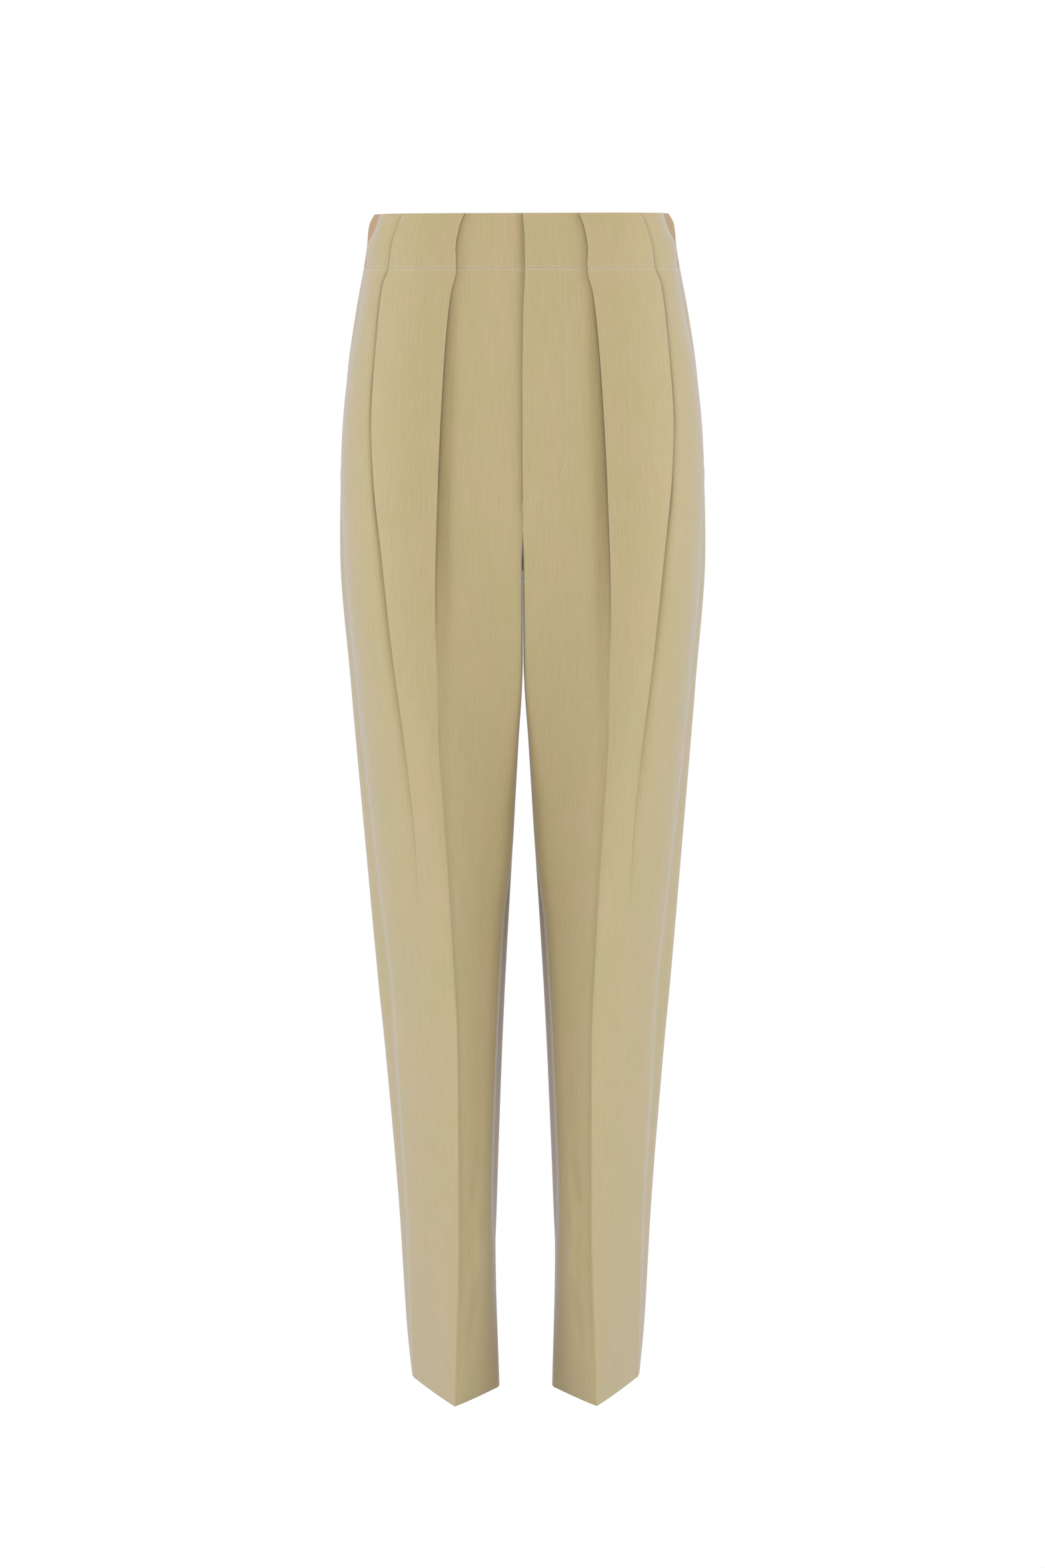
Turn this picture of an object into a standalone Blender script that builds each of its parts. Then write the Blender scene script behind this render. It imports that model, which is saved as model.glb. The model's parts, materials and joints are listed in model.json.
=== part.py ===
"""High-waisted pleated trousers, filled out as they are when worn, and open at waist and hems.

Metres, +Z up. The origin is the middle of the waist opening, the front faces -Y and the
wearer's left side is +X. Each panel of cloth is a thin wall on level rings of one form.
A ring is worked out from named points: the centre or inseam, the front crease, the side
seam, the widest point and the back crease. Superellipse quarters join them, and each
pleat is two equal and opposite bends of the wall with an underlay between them.
"""

import math

import bmesh
import bpy
import numpy as np

MM = 0.001

# Driving sizes.
LENGTH = 1073.0 * MM  # waist edge to hem, straight down
BAND_DEPTH = 47.0 * MM  # waistband
CLOTH = 1.4 * MM  # wall of every panel: cloth, its turnings and its give
STRIP = 1.0 * MM  # wall of the strips behind the fly and the pocket mouths
SEAM = 0.3 * MM  # between two pieces at a seam
BEHIND = CLOTH / 2 + SEAM + STRIP / 2  # from the middle of a panel to that of a strip
FOLD_RADIUS = CLOTH / 2 + 0.2 * MM  # tightest bend of the middle of the wall
FOLD_STRETCH = 1.5 * MM  # least length of one bend, also where it is flat
CREASE_REACH = 22.0 * MM  # how far from a pressed crease its ridge dies away
FALL_CURVE = 1.15  # how the fall of a front grows from its crease: 1 is even, more is later

# Crotch: where the centre seams leave the front and the back, and where they meet.
FRONT_FORK = 270.0 * MM
BACK_FORK = 235.0 * MM
CROTCH_DROP = 318.0 * MM
CROTCH_Y = 15.0 * MM

# Fly: the left front laps over the right front.
FLY_WIDTH = 36.0 * MM
FLY_END = 249.0 * MM
LAP = 6.0 * MM
LAP_END = 185.0 * MM
LAP_RISE = CLOTH + 0.4 * MM
SHIELD = {"right": 10.0 * MM, "left": 34.0 * MM}  # how far it reaches to each side

# Side pockets: the mouth is a stretch of the side seam that stays open.
MOUTH_TOP = 84.0 * MM
MOUTH_END = 226.0 * MM
MOUTH_RISE = 1.2 * MM
MOUTH_REACH = 12.0 * MM
FACING_COLUMNS = {"front": 2, "back": 4}  # how many of each panel's points it lies behind

# Rings of the panels, in millimetres below the waist edge. The rings from FRONT_FORK to
# CROTCH_DROP lie close, because the crotch seam turns under there.
BAND_RINGS = (0, 9, 18, 28, (BAND_DEPTH - SEAM / 2) / MM)
PANEL_RINGS = ((BAND_DEPTH + SEAM / 2) / MM, 58, 76, 104, 145, 185, 235, 270, 289, 303.6, 313.2,
               318, 345, 375, 410, 460, 530, 610, 700, 790, 880, 950, 1010, 1048, LENGTH / MM)

SHIELD_RINGS = PANEL_RINGS[1:7]
FACING_RINGS = PANEL_RINGS[2:7]

# Steps across each stretch of a ring.
WALL_STEPS = 4
FLY_STEPS = 4
BEND_STEPS = 3
MIDDLE_STEPS = 3
SIDE_STEPS = 3
SEAT_SIDE_STEPS = 2
SEAT_STEPS = 6
SEAT_CENTRE_STEPS = 4
STRIP_STEPS = 5
DENSE = 160  # points of the fine curve that a ring's steps are taken from


def table(columns, *rows):
    """Named columns: the first is the depth below the waist edge, and all are in millimetres."""
    return dict(zip(columns.split(), np.array(rows, float).T))


SIDE = table(
    "below widest_x seam_inset seam_y widest_y",
    (0, 131.5, 6.5, -30, 0),
    (9, 136.0, 7.8, -26, 0),
    (16, 137.2, 6.0, -24, 0),
    (28, 138.3, 1.0, -9, 2),
    (47, 141.4, 2.5, -12, 3),
    (82, 148.2, 4.4, -15, 4),
    (140, 157.0, 2.0, -10, 5),
    (225, 163.7, 0.6, -6, 6),
    (300, 165.5, 5.5, -16, 8),
    (418, 157.5, 7.2, -20, 12),
    (590, 144.0, 11.5, -18, 18),
    (700, 135.2, 14.3, -12, 24),
    (764, 129.4, 11.5, -8, 26),
    (915, 117.8, 8.0, -2, 30),
    (1030, 111.5, 4.5, 6, 32),
    (1073, 107.5, 1.7, 10, 32),
)
INSEAM = table(
    "below innermost_x seam_inset seam_y innermost_y",
    (318, 0.85, 0.0, 15, 15),
    (400, 1.1, 0.0, 12, 14),
    (470, 5.0, 0.0, 8, 12),
    (560, 9.9, 0.2, 2, 10),
    (642, 14.8, 5.0, -14, 12),
    (730, 19.6, 5.5, -22, 14),
    (855, 24.8, 5.0, -26, 14),
    (915, 26.9, 3.0, -24, 8),
    (945, 28.0, 0.5, -22, 0),
    (1073, 25.1, 0.0, -22, -10),
)
DEPTH = table(
    "below centre_y crease_y back_crease_y back_centre_y back_crease_x",
    (0, -97, -93, 88, 92, 62),
    (47, -100, -96, 94, 98, 64),
    (140, -107, -104, 114, 119, 69),
    (220, -110.5, -109, 124, 129, 72),
    (300, -112, -111.5, 117, 119, 73),
    (418, -109, -109, 103, 103, 74),
    (590, -99, -99, 90, 90, 72),
    (764, -90, -90, 83, 83, 68),
    (915, -86, -86, 78, 78, 66),
    (1073, -83, -83, 72, 72, 64.4),
)
# Exponents of the superellipse quarters: 2 is round, 1 straight, and a large one square.
# The ridge is how far a pressed crease is drawn out of the quarter, and the fall is how far
# the front drops back from the crease to the inner corner.
ROUNDNESS = table(
    "below front_outer front_inner back_outer back_inner ridge fall",
    (0, 2.2, 30, 2.1, 30, 0.0, 0),
    (235, 2.2, 30, 2.3, 30, 0.0, 0),
    (270, 2.1, 30, 2.3, 20, 0.0, 0),
    (318, 2.0, 28, 2.3, 14, 0.0, 7),
    (365, 1.85, 22, 2.2, 7, 0.5, 14),
    (418, 1.7, 16, 2.1, 4.5, 1.5, 22),
    (470, 1.55, 13, 2.05, 3.6, 2.0, 30),
    (530, 1.4, 12, 2.0, 3, 2.5, 36),
    (610, 1.3, 11, 1.8, 2.3, 2.5, 38),
    (700, 1.22, 9, 1.7, 2.0, 2.2, 34),
    (764, 1.17, 8, 1.6, 1.8, 2.0, 31),
    (840, 1.13, 6, 1.5, 1.6, 1.8, 26),
    (915, 1.1, 3.6, 1.45, 1.5, 1.5, 18),
    (990, 1.07, 1.9, 1.4, 1.35, 0.8, 8),
    (1073, 1.05, 1.05, 1.3, 1.2, 0.0, 0),
)
# The pleats: where the fold's edge shows from the front, how far its two bends turn, in
# degrees, and the cloth that lies under between them. The inner one runs on as the crease.
INNER_PLEAT = table(
    "below edge_x turn underlay",
    (0, 49.6, 180, 9.0),
    (12, 54.5, 180, 9.0),
    (32, 57.7, 180, 9.0),
    (47, 57.0, 180, 9.0),
    (70, 62.2, 180, 8.5),
    (110, 66.8, 180, 7.5),
    (184, 71.8, 180, 5.0),
    (253, 74.9, 180, 0.6),
    (340, 77.3, 110, 0.6),
    (450, 76.4, 0, 0.6),
    (534, 71.3, 0, 0.6),
    (625, 65.7, 0, 0.6),
    (752, 60.4, 0, 0.6),
    (890, 60.3, 0, 0.6),
    (1073, 64.4, 0, 0.6),
)
OUTER_PLEAT = table(
    "below edge_x turn underlay",
    (0, 103.4, 180, 8.0),
    (12, 108.5, 180, 8.0),
    (30, 114.0, 180, 8.0),
    (47, 116.0, 180, 8.0),
    (62, 121.9, 180, 7.5),
    (103, 127.0, 180, 7.0),
    (185, 132.6, 180, 5.0),
    (225, 131.3, 180, 4.0),
    (302, 123.8, 180, 0.6),
    (395, 114.5, 140, 0.6),
    (481, 104.5, 80, 0.6),
    (566, 95.8, 30, 0.6),
    (640, 91.0, 0, 0.6),
    (1073, 84.0, 0, 0.6),
)

CLOTH_COLOURS = {
    "front": (0.56, 0.45, 0.25, 1.0),
    "back": (0.53, 0.42, 0.23, 1.0),
    "band": (0.58, 0.47, 0.27, 1.0),
    "strip": (0.50, 0.40, 0.22, 1.0),
}


def clear_scene():
    """Remove what a new Blender file starts with."""
    for thing in list(bpy.data.objects):
        bpy.data.objects.remove(thing, do_unlink=True)


def read(rows, column, below):
    """A table's column at one depth: a cubic through its rows that never overshoots them."""
    x, y = rows["below"], rows[column]
    depth = min(max(below / MM, x[0]), x[-1])
    step = np.diff(x)
    rise = np.diff(y) / step
    before, after = rise[:-1], rise[1:]
    agree = before * after > 0
    weight = 2 * (np.abs(before) + np.abs(after)) + 1e-12
    inside = np.where(agree, 4 * before * after * np.sign(before) / weight, 0.0)
    slope = np.concatenate([[rise[0]], inside, [rise[-1]]])
    i = min(np.searchsorted(x, depth, side="right") - 1, len(step) - 1)
    t = (depth - x[i]) / step[i]
    start = (1 + 2 * t) * (1 - t) ** 2 * y[i] + t * (1 - t) ** 2 * step[i] * slope[i]
    end = t * t * (3 - 2 * t) * y[i + 1] + t * t * (t - 1) * step[i] * slope[i + 1]
    return float(start + end)


def size(rows, column, below):
    """A table's column at one depth, in metres."""
    return read(rows, column, below) * MM


def ease(t):
    """Runs smoothly from 0 to 1 as t does, and stays level beyond."""
    t = np.clip(t, 0.0, 1.0)
    return t * t * (3 - 2 * t)


class Ring:
    """The named points of one level ring, on the wearer's left side."""

    def __init__(self, below):
        self.below = below
        widest = size(SIDE, "widest_x", below)
        self.widest = (widest - CLOTH / 2, size(SIDE, "widest_y", below))
        self.side = (self.widest[0] - size(SIDE, "seam_inset", below), size(SIDE, "seam_y", below))
        self.crease = (size(INNER_PLEAT, "edge_x", below), size(DEPTH, "crease_y", below))
        self.back_crease = (size(DEPTH, "back_crease_x", below),
                            size(DEPTH, "back_crease_y", below))
        self.innermost = (size(INSEAM, "innermost_x", below), size(INSEAM, "innermost_y", below))
        self.inseam = (self.innermost[0] + size(INSEAM, "seam_inset", below),
                       size(INSEAM, "seam_y", below))
        self.centre_y = size(DEPTH, "centre_y", below)
        self.back_centre_y = size(DEPTH, "back_centre_y", below)
        self.round = {name: read(ROUNDNESS, name, below) for name in ROUNDNESS}
        self.ridge = size(ROUNDNESS, "ridge", below)
        self.fall = size(ROUNDNESS, "fall", below)


def crotch_seam_y(below, fork, start_y):
    """Where the centre seam lies at a depth: a quarter ellipse from the fork to the crotch."""
    share = min((below - fork) / (CROTCH_DROP - fork), 1.0)
    return CROTCH_Y + (start_y - CROTCH_Y) * math.sqrt(1 - share * share)


def quarter(tip, side, power):
    """Superellipse quarter from a crease tip round to a side point, the fine way."""
    angle = np.linspace(0, math.pi / 2, DENSE)
    across = np.sin(angle) ** (2 / power)
    along = np.cos(angle) ** (2 / power)
    return np.stack([tip[0] + (side[0] - tip[0]) * across,
                     side[1] + (tip[1] - side[1]) * along], axis=1)


def corner_quarter(tip, side, power, edge_y):
    """Superellipse quarter from a crease tip to a side point, cut off level with edge_y.

    It comes in two stretches that meet where it turns most: across the front or back, and
    along the inner wall, evenly spaced in x and in y.
    """
    turn = 2 ** (-1 / power)
    across = np.linspace(0, turn, DENSE)
    face = np.stack([tip[0] + (side[0] - tip[0]) * across,
                     side[1] + (tip[1] - side[1]) * (1 - across**power) ** (1 / power)], axis=1)
    stop = (edge_y - side[1]) / (tip[1] - side[1])
    along = np.linspace(turn, stop, DENSE)
    kept = np.clip(along, 0.0, 1.0)
    wall = np.stack([tip[0] + (side[0] - tip[0]) * (1 - kept**power) ** (1 / power),
                     side[1] + (tip[1] - side[1]) * along], axis=1)
    return face, wall


def drawn_out(line, tip, ridge):
    """Draw a stretch out to a pressed crease: the ridge dies away with distance from it."""
    away = np.linalg.norm(line - np.array(tip), axis=1)
    lift = ridge * np.exp(-away / CREASE_REACH)
    return line + np.stack([np.zeros(len(line)), math.copysign(1, tip[1]) * lift], axis=1)


def fallen(face, wall, fall, span):
    """Let a front drop back by fall from its crease to its inner corner, and shorten the wall."""
    drop = fall * ((face[0, 0] - face[:, 0]) / span) ** FALL_CURVE
    left = (wall[-1, 1] - wall[:, 1]) / (wall[-1, 1] - wall[0, 1])
    return face + np.outer(drop, (0, 1)), wall + np.outer(drop[-1] * left, (0, 1))


def front_stretches(ring, inner_x):
    """Inner wall, fly panel and outer front of a ring, each in the order centre to side."""
    outer = drawn_out(quarter(ring.crease, ring.side, ring.round["front_outer"]),
                      ring.crease, ring.ridge)
    if ring.below <= FRONT_FORK:
        x = np.linspace(inner_x, ring.crease[0], DENSE)
        y = ring.centre_y + (ring.crease[1] - ring.centre_y) * (x / ring.crease[0]) ** 2
        return None, np.stack([x, y], axis=1), outer
    seam_y = crotch_seam_y(ring.below, FRONT_FORK, ring.centre_y)
    if ring.below >= CROTCH_DROP:
        seam_y = ring.inseam[1]
    face, wall = corner_quarter(ring.crease, ring.inseam, ring.round["front_inner"],
                                seam_y - SEAM / 2)
    face, wall = fallen(face, wall, ring.fall, ring.crease[0] - ring.inseam[0])
    face = drawn_out(face, ring.crease, ring.ridge)
    wall = drawn_out(wall, ring.crease, ring.ridge)
    return wall[::-1], face[::-1], outer


def back_stretches(ring):
    """Outer back, seat and inner wall of a ring, each in the order side to centre."""
    t = np.linspace(0, 1, DENSE // 4)[:-1]
    x = ring.side[0] + (ring.widest[0] - ring.side[0]) * ease(t)
    y = ring.side[1] + (ring.widest[1] - ring.side[1]) * t
    haunch = np.stack([x, y], axis=1)
    outer = drawn_out(quarter(ring.back_crease, ring.widest, ring.round["back_outer"]),
                      ring.back_crease, ring.ridge)[::-1]
    if ring.below <= BACK_FORK:
        x = np.linspace(ring.back_crease[0], SEAM / 2, DENSE)
        share = (x / ring.back_crease[0]) ** 2
        y = ring.back_centre_y + (ring.back_crease[1] - ring.back_centre_y) * share
        return haunch, outer, np.stack([x, y], axis=1), None
    seam_y = crotch_seam_y(ring.below, BACK_FORK, ring.back_centre_y)
    inner = ring.innermost
    if ring.below >= CROTCH_DROP:
        seam_y = ring.inseam[1]
    face, wall = corner_quarter(ring.back_crease, inner, ring.round["back_inner"],
                                seam_y + SEAM / 2)
    past = np.clip((inner[1] - wall[:, 1]) / max(inner[1] - ring.inseam[1], SEAM), 0, 1)
    wall[:, 0] += (ring.inseam[0] - inner[0]) * ease(past)
    return (haunch, outer, drawn_out(face, ring.back_crease, ring.ridge),
            drawn_out(wall, ring.back_crease, ring.ridge))


class Path:
    """A line in plan that gives the point at a length along it, moved out from the body."""

    def __init__(self, *stretches):
        points = [stretches[0]]
        for stretch in stretches[1:]:
            near = np.linalg.norm(stretch[0] - points[-1][-1]) < 1e-7
            points.append(stretch[1:] if near else stretch)
        self.points = np.concatenate(points)
        self.steps = np.linalg.norm(np.diff(self.points, axis=0), axis=1)
        self.length = np.concatenate([[0], np.cumsum(self.steps)])
        self.normals = normals(self.points)[0]

    def at(self, along, out=0.0):
        """Points at lengths along the line, moved out along its normal."""
        point = [np.interp(along, self.length, self.points[:, k]) for k in (0, 1)]
        normal = [np.interp(along, self.length, self.normals[:, k]) for k in (0, 1)]
        return np.stack([point[0] + out * normal[0], point[1] + out * normal[1]], axis=1)

    def where_x(self, x, out, between):
        """Length along the line where it shows at x once it is moved out."""
        shown = self.points[:, 0] + out * self.normals[:, 0]
        part = (self.length >= between[0]) & (self.length <= between[1])
        return float(np.interp(x, shown[part], self.length[part]))


def normals(points):
    """Outward normals of a line, and how much longer a mitred offset is at each point."""
    step = np.diff(points, axis=0)
    step /= np.maximum(np.linalg.norm(step, axis=1, keepdims=True), 1e-12)
    before = np.vstack([step[:1], step])
    after = np.vstack([step, step[-1:]])
    middle = before + after
    middle /= np.maximum(np.linalg.norm(middle, axis=1, keepdims=True), 1e-12)
    mitre = 1 / np.maximum((middle * after).sum(1), 0.5)
    return np.stack([middle[:, 1], -middle[:, 0]], axis=1), mitre


def pleat(turn, underlay):
    """One fold in plan, as lengths along and out: bend up and back, lie under, bend again.

    It starts level with the lower panel and ends level with the upper one. The edge that
    shows is at length 0.
    """
    angle = math.radians(turn)
    radius = max(FOLD_RADIUS, FOLD_STRETCH / max(angle, 1e-6))
    if angle < 1e-3:
        along = np.linspace(-2 * FOLD_STRETCH, 0, 2 * BEND_STEPS + 2)
        return along, np.zeros_like(along)
    swing = np.linspace(0, angle, BEND_STEPS + 1)
    first = np.stack([radius * np.sin(swing), radius * (1 - np.cos(swing))])
    start = first[:, -1] + underlay * np.array([math.cos(angle), math.sin(angle)])
    back = swing[::-1]
    second = np.stack([start[0] + radius * (math.sin(angle) - np.sin(back)),
                       start[1] + radius * (np.cos(back) - math.cos(angle))])
    along, out = np.concatenate([first, second], axis=1)
    shown = along[-1] - radius * (1 - max(math.cos(angle), 0.0))
    return along - shown, out


def front_line(ring, lapping):
    """The middle of the wall of a front panel at one ring, centre to side, with its pleats."""
    if lapping:
        inner_x = SEAM / 2
    else:
        inner_x = SEAM / 2 - (LAP + SEAM) * (1 - ease((ring.below - LAP_END) / (BACK_FORK - LAP_END)))
    wall, face, outer = front_stretches(ring, inner_x)
    path = Path(face, outer)
    crease = float(np.linalg.norm(np.diff(face, axis=0), axis=1).sum())
    along, out = pleat(read(INNER_PLEAT, "turn", ring.below), size(INNER_PLEAT, "underlay", ring.below))
    inner_fold = (crease + along, out)
    along, out = pleat(read(OUTER_PLEAT, "turn", ring.below), size(OUTER_PLEAT, "underlay", ring.below))
    end = path.length[-1]
    edge = path.where_x(size(OUTER_PLEAT, "edge_x", ring.below), out[-1], (crease, end))
    outer_fold = (edge - along[::-1], out[::-1])
    fly_along = np.linspace(0, inner_fold[0][0], FLY_STEPS + 1)[:-1]
    fly_x = path.at(fly_along)[:, 0]
    fade = 1 - ease((ring.below - FLY_END) / (FRONT_FORK - FLY_END))
    fly_out = LAP_RISE * fade * ease(1 - fly_x / FLY_WIDTH) if lapping else np.zeros(FLY_STEPS)
    middle = np.linspace(0, 1, MIDDLE_STEPS + 1)[1:-1]
    middle_along = inner_fold[0][-1] + (outer_fold[0][0] - inner_fold[0][-1]) * middle
    middle_out = inner_fold[1][-1] + (outer_fold[1][0] - inner_fold[1][-1]) * middle
    side_along = np.linspace(outer_fold[0][-1], end - SEAM / 2, SIDE_STEPS + 1)[1:]
    mouth = math.sin(math.pi * min(max((ring.below - MOUTH_TOP) / (MOUTH_END - MOUTH_TOP), 0), 1))
    side_out = MOUTH_RISE * mouth * ease(1 - (end - side_along) / MOUTH_REACH)
    line = path.at(
        np.concatenate([fly_along, inner_fold[0], middle_along, outer_fold[0], side_along]),
        np.concatenate([fly_out, inner_fold[1], middle_out, outer_fold[1], side_out]),
    )
    return line if wall is None else np.concatenate([picked(wall, WALL_STEPS), line])


def picked(stretch, steps):
    """Evenly placed points of a fine stretch, without its last one."""
    path = Path(stretch)
    return path.at(np.linspace(0, path.length[-1], steps + 1)[:-1])


def back_line(ring):
    """The middle of the wall of a back panel at one ring, side to centre."""
    haunch, outer, face, wall = back_stretches(ring)
    side = Path(haunch, outer[:1])
    first = side.at(np.linspace(SEAM / 2, side.length[-1], SEAT_SIDE_STEPS + 1)[:-1])
    seat = picked(outer, SEAT_STEPS)
    centre = picked(face, SEAT_CENTRE_STEPS)
    line = np.concatenate([first, seat, centre])
    if wall is None:
        return np.concatenate([line, face[-1:]])
    inner = Path(wall)
    return np.concatenate([line, inner.at(np.linspace(0, inner.length[-1], WALL_STEPS + 1))])


def thickened(line, thickness, before=None, after=None):
    """Outer and inner faces of a wall whose middle is the line.

    Where another wall meets it, before or after it, both end faces lie along the line
    that halves the corner between them.
    """
    met = [part for part in (before, line, after) if part is not None]
    normal, mitre = normals(np.concatenate(met))
    reach = (thickness / 2 * mitre)[:, None] * normal
    start = 0 if before is None else len(before)
    reach = reach[start : start + len(line)]
    if before is not None:
        reach[0] = halved(before[-1] - before[-2], line[1] - line[0]) * thickness / 2
    if after is not None:
        reach[-1] = halved(line[-1] - line[-2], after[1] - after[0]) * thickness / 2
    return line + reach, line - reach


def halved(arriving, leaving):
    """The mitred outward normal of the corner between two directions."""
    arriving = arriving / np.linalg.norm(arriving)
    leaving = leaving / np.linalg.norm(leaving)
    middle = (arriving + leaving) / np.linalg.norm(arriving + leaving)
    return np.array([middle[1], -middle[0]]) / (middle @ leaving)


def levels(rings, side, lapping, columns):
    """Outer and inner faces of a front or a back panel, one row for each ring.

    On rings above the fork the inner wall has no width, so its columns all lie at the
    centre seam.
    """
    outer, inner = [], []
    for mark in rings:
        ring = Ring(mark * MM)
        front_part, back_part = front_line(ring, lapping), back_line(ring)
        sewn_below = ring.below >= CROTCH_DROP
        if side == "front":
            met = (back_part if sewn_below else None, back_part)
            faces = thickened(front_part, CLOTH, *met)
        else:
            met = (front_part, front_part if sewn_below else None)
            faces = thickened(back_part, CLOTH, *met)
        for face, rows in zip(faces, (outer, inner)):
            end = face[:1] if side == "front" else face[-1:]
            padding = np.repeat(end, columns - len(face), axis=0)
            face = np.concatenate([padding, face] if side == "front" else [face, padding])
            rows.append(np.column_stack([face, np.full(columns, -mark * MM)]))
    return np.array(outer), np.array(inner)


def shell(name, outer, inner, colour, mirrored=False):
    """A closed wall from its outer and inner faces; points that coincide are one point."""
    if mirrored:
        outer, inner = outer * (-1, 1, 1), inner * (-1, 1, 1)
    rows, columns = outer.shape[:2]
    index = np.arange(rows * columns).reshape(rows, columns)
    for r in range(rows):
        for c in range(1, columns):
            if np.linalg.norm(outer[r, c] - outer[r, c - 1]) < 1e-9:
                index[r, c] = index[r, c - 1]
    quads = np.stack([index[:-1, :-1], index[1:, :-1], index[1:, 1:], index[:-1, 1:]], axis=-1)
    faces = []
    for quad in quads.reshape(-1, 4):
        face = list(dict.fromkeys(int(i) for i in quad))
        if len(face) > 2:
            faces.append(face)
    sides = {}
    for face in faces:
        for a, b in zip(face, face[1:] + face[:1]):
            sides[(a, b)] = sides.get((a, b), 0) + 1
    spare = rows * columns
    rims = [[b, a, a + spare, b + spare] for a, b in sides if (b, a) not in sides]
    back = [[i + spare for i in reversed(face)] for face in faces]
    points = np.concatenate([outer.reshape(-1, 3), inner.reshape(-1, 3)])
    mesh = bpy.data.meshes.new(name)
    mesh.from_pydata(points.tolist(), [], faces + back + rims)
    built = bmesh.new()
    built.from_mesh(mesh)
    loose = [v for v in built.verts if not v.link_faces]
    bmesh.ops.delete(built, geom=loose, context="VERTS")
    bmesh.ops.recalc_face_normals(built, faces=built.faces)
    built.to_mesh(mesh)
    built.free()
    mesh.shade_smooth()
    mesh.set_sharp_from_angle(angle=math.radians(35))
    thing = bpy.data.objects.new(name, mesh)
    bpy.context.collection.objects.link(thing)
    mesh.materials.append(cloth_material(name, colour))
    return thing


def cloth_material(name, colour):
    """Plain woven cloth in one colour."""
    material = bpy.data.materials.new(name + "_cloth")
    material.use_nodes = True
    surface = material.node_tree.nodes["Principled BSDF"]
    surface.inputs["Base Color"].default_value = CLOTH_COLOURS[colour]
    surface.inputs["Roughness"].default_value = 0.75
    surface.inputs["Metallic"].default_value = 0.0
    return material


FRONT_COLUMNS = WALL_STEPS + FLY_STEPS + 2 * (2 * BEND_STEPS + 2) + (MIDDLE_STEPS - 1) + SIDE_STEPS
BACK_COLUMNS = SEAT_SIDE_STEPS + SEAT_STEPS + SEAT_CENTRE_STEPS + WALL_STEPS + 1


def front(name, rings, colour, lapping):
    """A front panel or a front of the waistband: the left one laps over the right one."""
    columns = FRONT_COLUMNS if rings is PANEL_RINGS else FRONT_COLUMNS - WALL_STEPS
    outer, inner = levels(rings, "front", lapping, columns)
    return shell(name, outer, inner, colour, mirrored=not lapping)


def back(name, rings, colour, mirrored):
    """A back panel or a back of the waistband."""
    columns = BACK_COLUMNS if rings is PANEL_RINGS else BACK_COLUMNS - WALL_STEPS
    outer, inner = levels(rings, "back", True, columns)
    return shell(name, outer, inner, colour, mirrored)


def strip(name, rings, make, mirrored=False):
    """A strip behind the panels, on some of their rings: make gives the middle of its wall."""
    outer, inner = [], []
    for mark in rings:
        for face, rows in zip(thickened(make(Ring(mark * MM)), STRIP), (outer, inner)):
            rows.append(np.column_stack([face, np.full(len(face), -mark * MM)]))
    return shell(name, np.array(outer), np.array(inner), "strip", mirrored)


def shield_line(ring):
    """The fly shield lies behind both fronts at the centre."""
    x = np.linspace(-SHIELD["right"], SHIELD["left"], STRIP_STEPS + 1)
    y = ring.centre_y + (ring.crease[1] - ring.centre_y) * (x / ring.crease[0]) ** 2
    return np.stack([x, y + BEHIND], axis=1)


def facing_line(ring):
    """The pocket facing lies behind the side seam, which is open there as the pocket's mouth."""
    front_part, back_part = front_line(ring, lapping=True), back_line(ring)
    panels = np.concatenate([front_part[-FACING_COLUMNS["front"] - 1 :],
                             back_part[: FACING_COLUMNS["back"] + 1]])
    normal, mitre = normals(panels)
    return (panels - BEHIND * mitre[:, None] * normal)[1:-1]


def build():
    """Make every piece of the trousers."""
    clear_scene()
    front("front_left", PANEL_RINGS, "front", lapping=True)
    front("front_right", PANEL_RINGS, "front", lapping=False)
    back("back_left", PANEL_RINGS, "back", mirrored=False)
    back("back_right", PANEL_RINGS, "back", mirrored=True)
    front("waistband_front_left", BAND_RINGS, "band", lapping=True)
    front("waistband_front_right", BAND_RINGS, "band", lapping=False)
    back("waistband_back_left", BAND_RINGS, "band", mirrored=False)
    back("waistband_back_right", BAND_RINGS, "band", mirrored=True)
    strip("fly_shield", SHIELD_RINGS, shield_line)
    strip("pocket_facing_left", FACING_RINGS, facing_line)
    strip("pocket_facing_right", FACING_RINGS, facing_line, mirrored=True)


build()
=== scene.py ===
"""High-waisted pleated trousers in a fine wool twill, filled out as they are when worn.

Metres, +Z up, the front to -Y and the wearer's left to +X. Each panel of cloth is a fine
wall on level rings of the same form as its solid, with its seams, folds and creases.
"""

import json
import math

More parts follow.
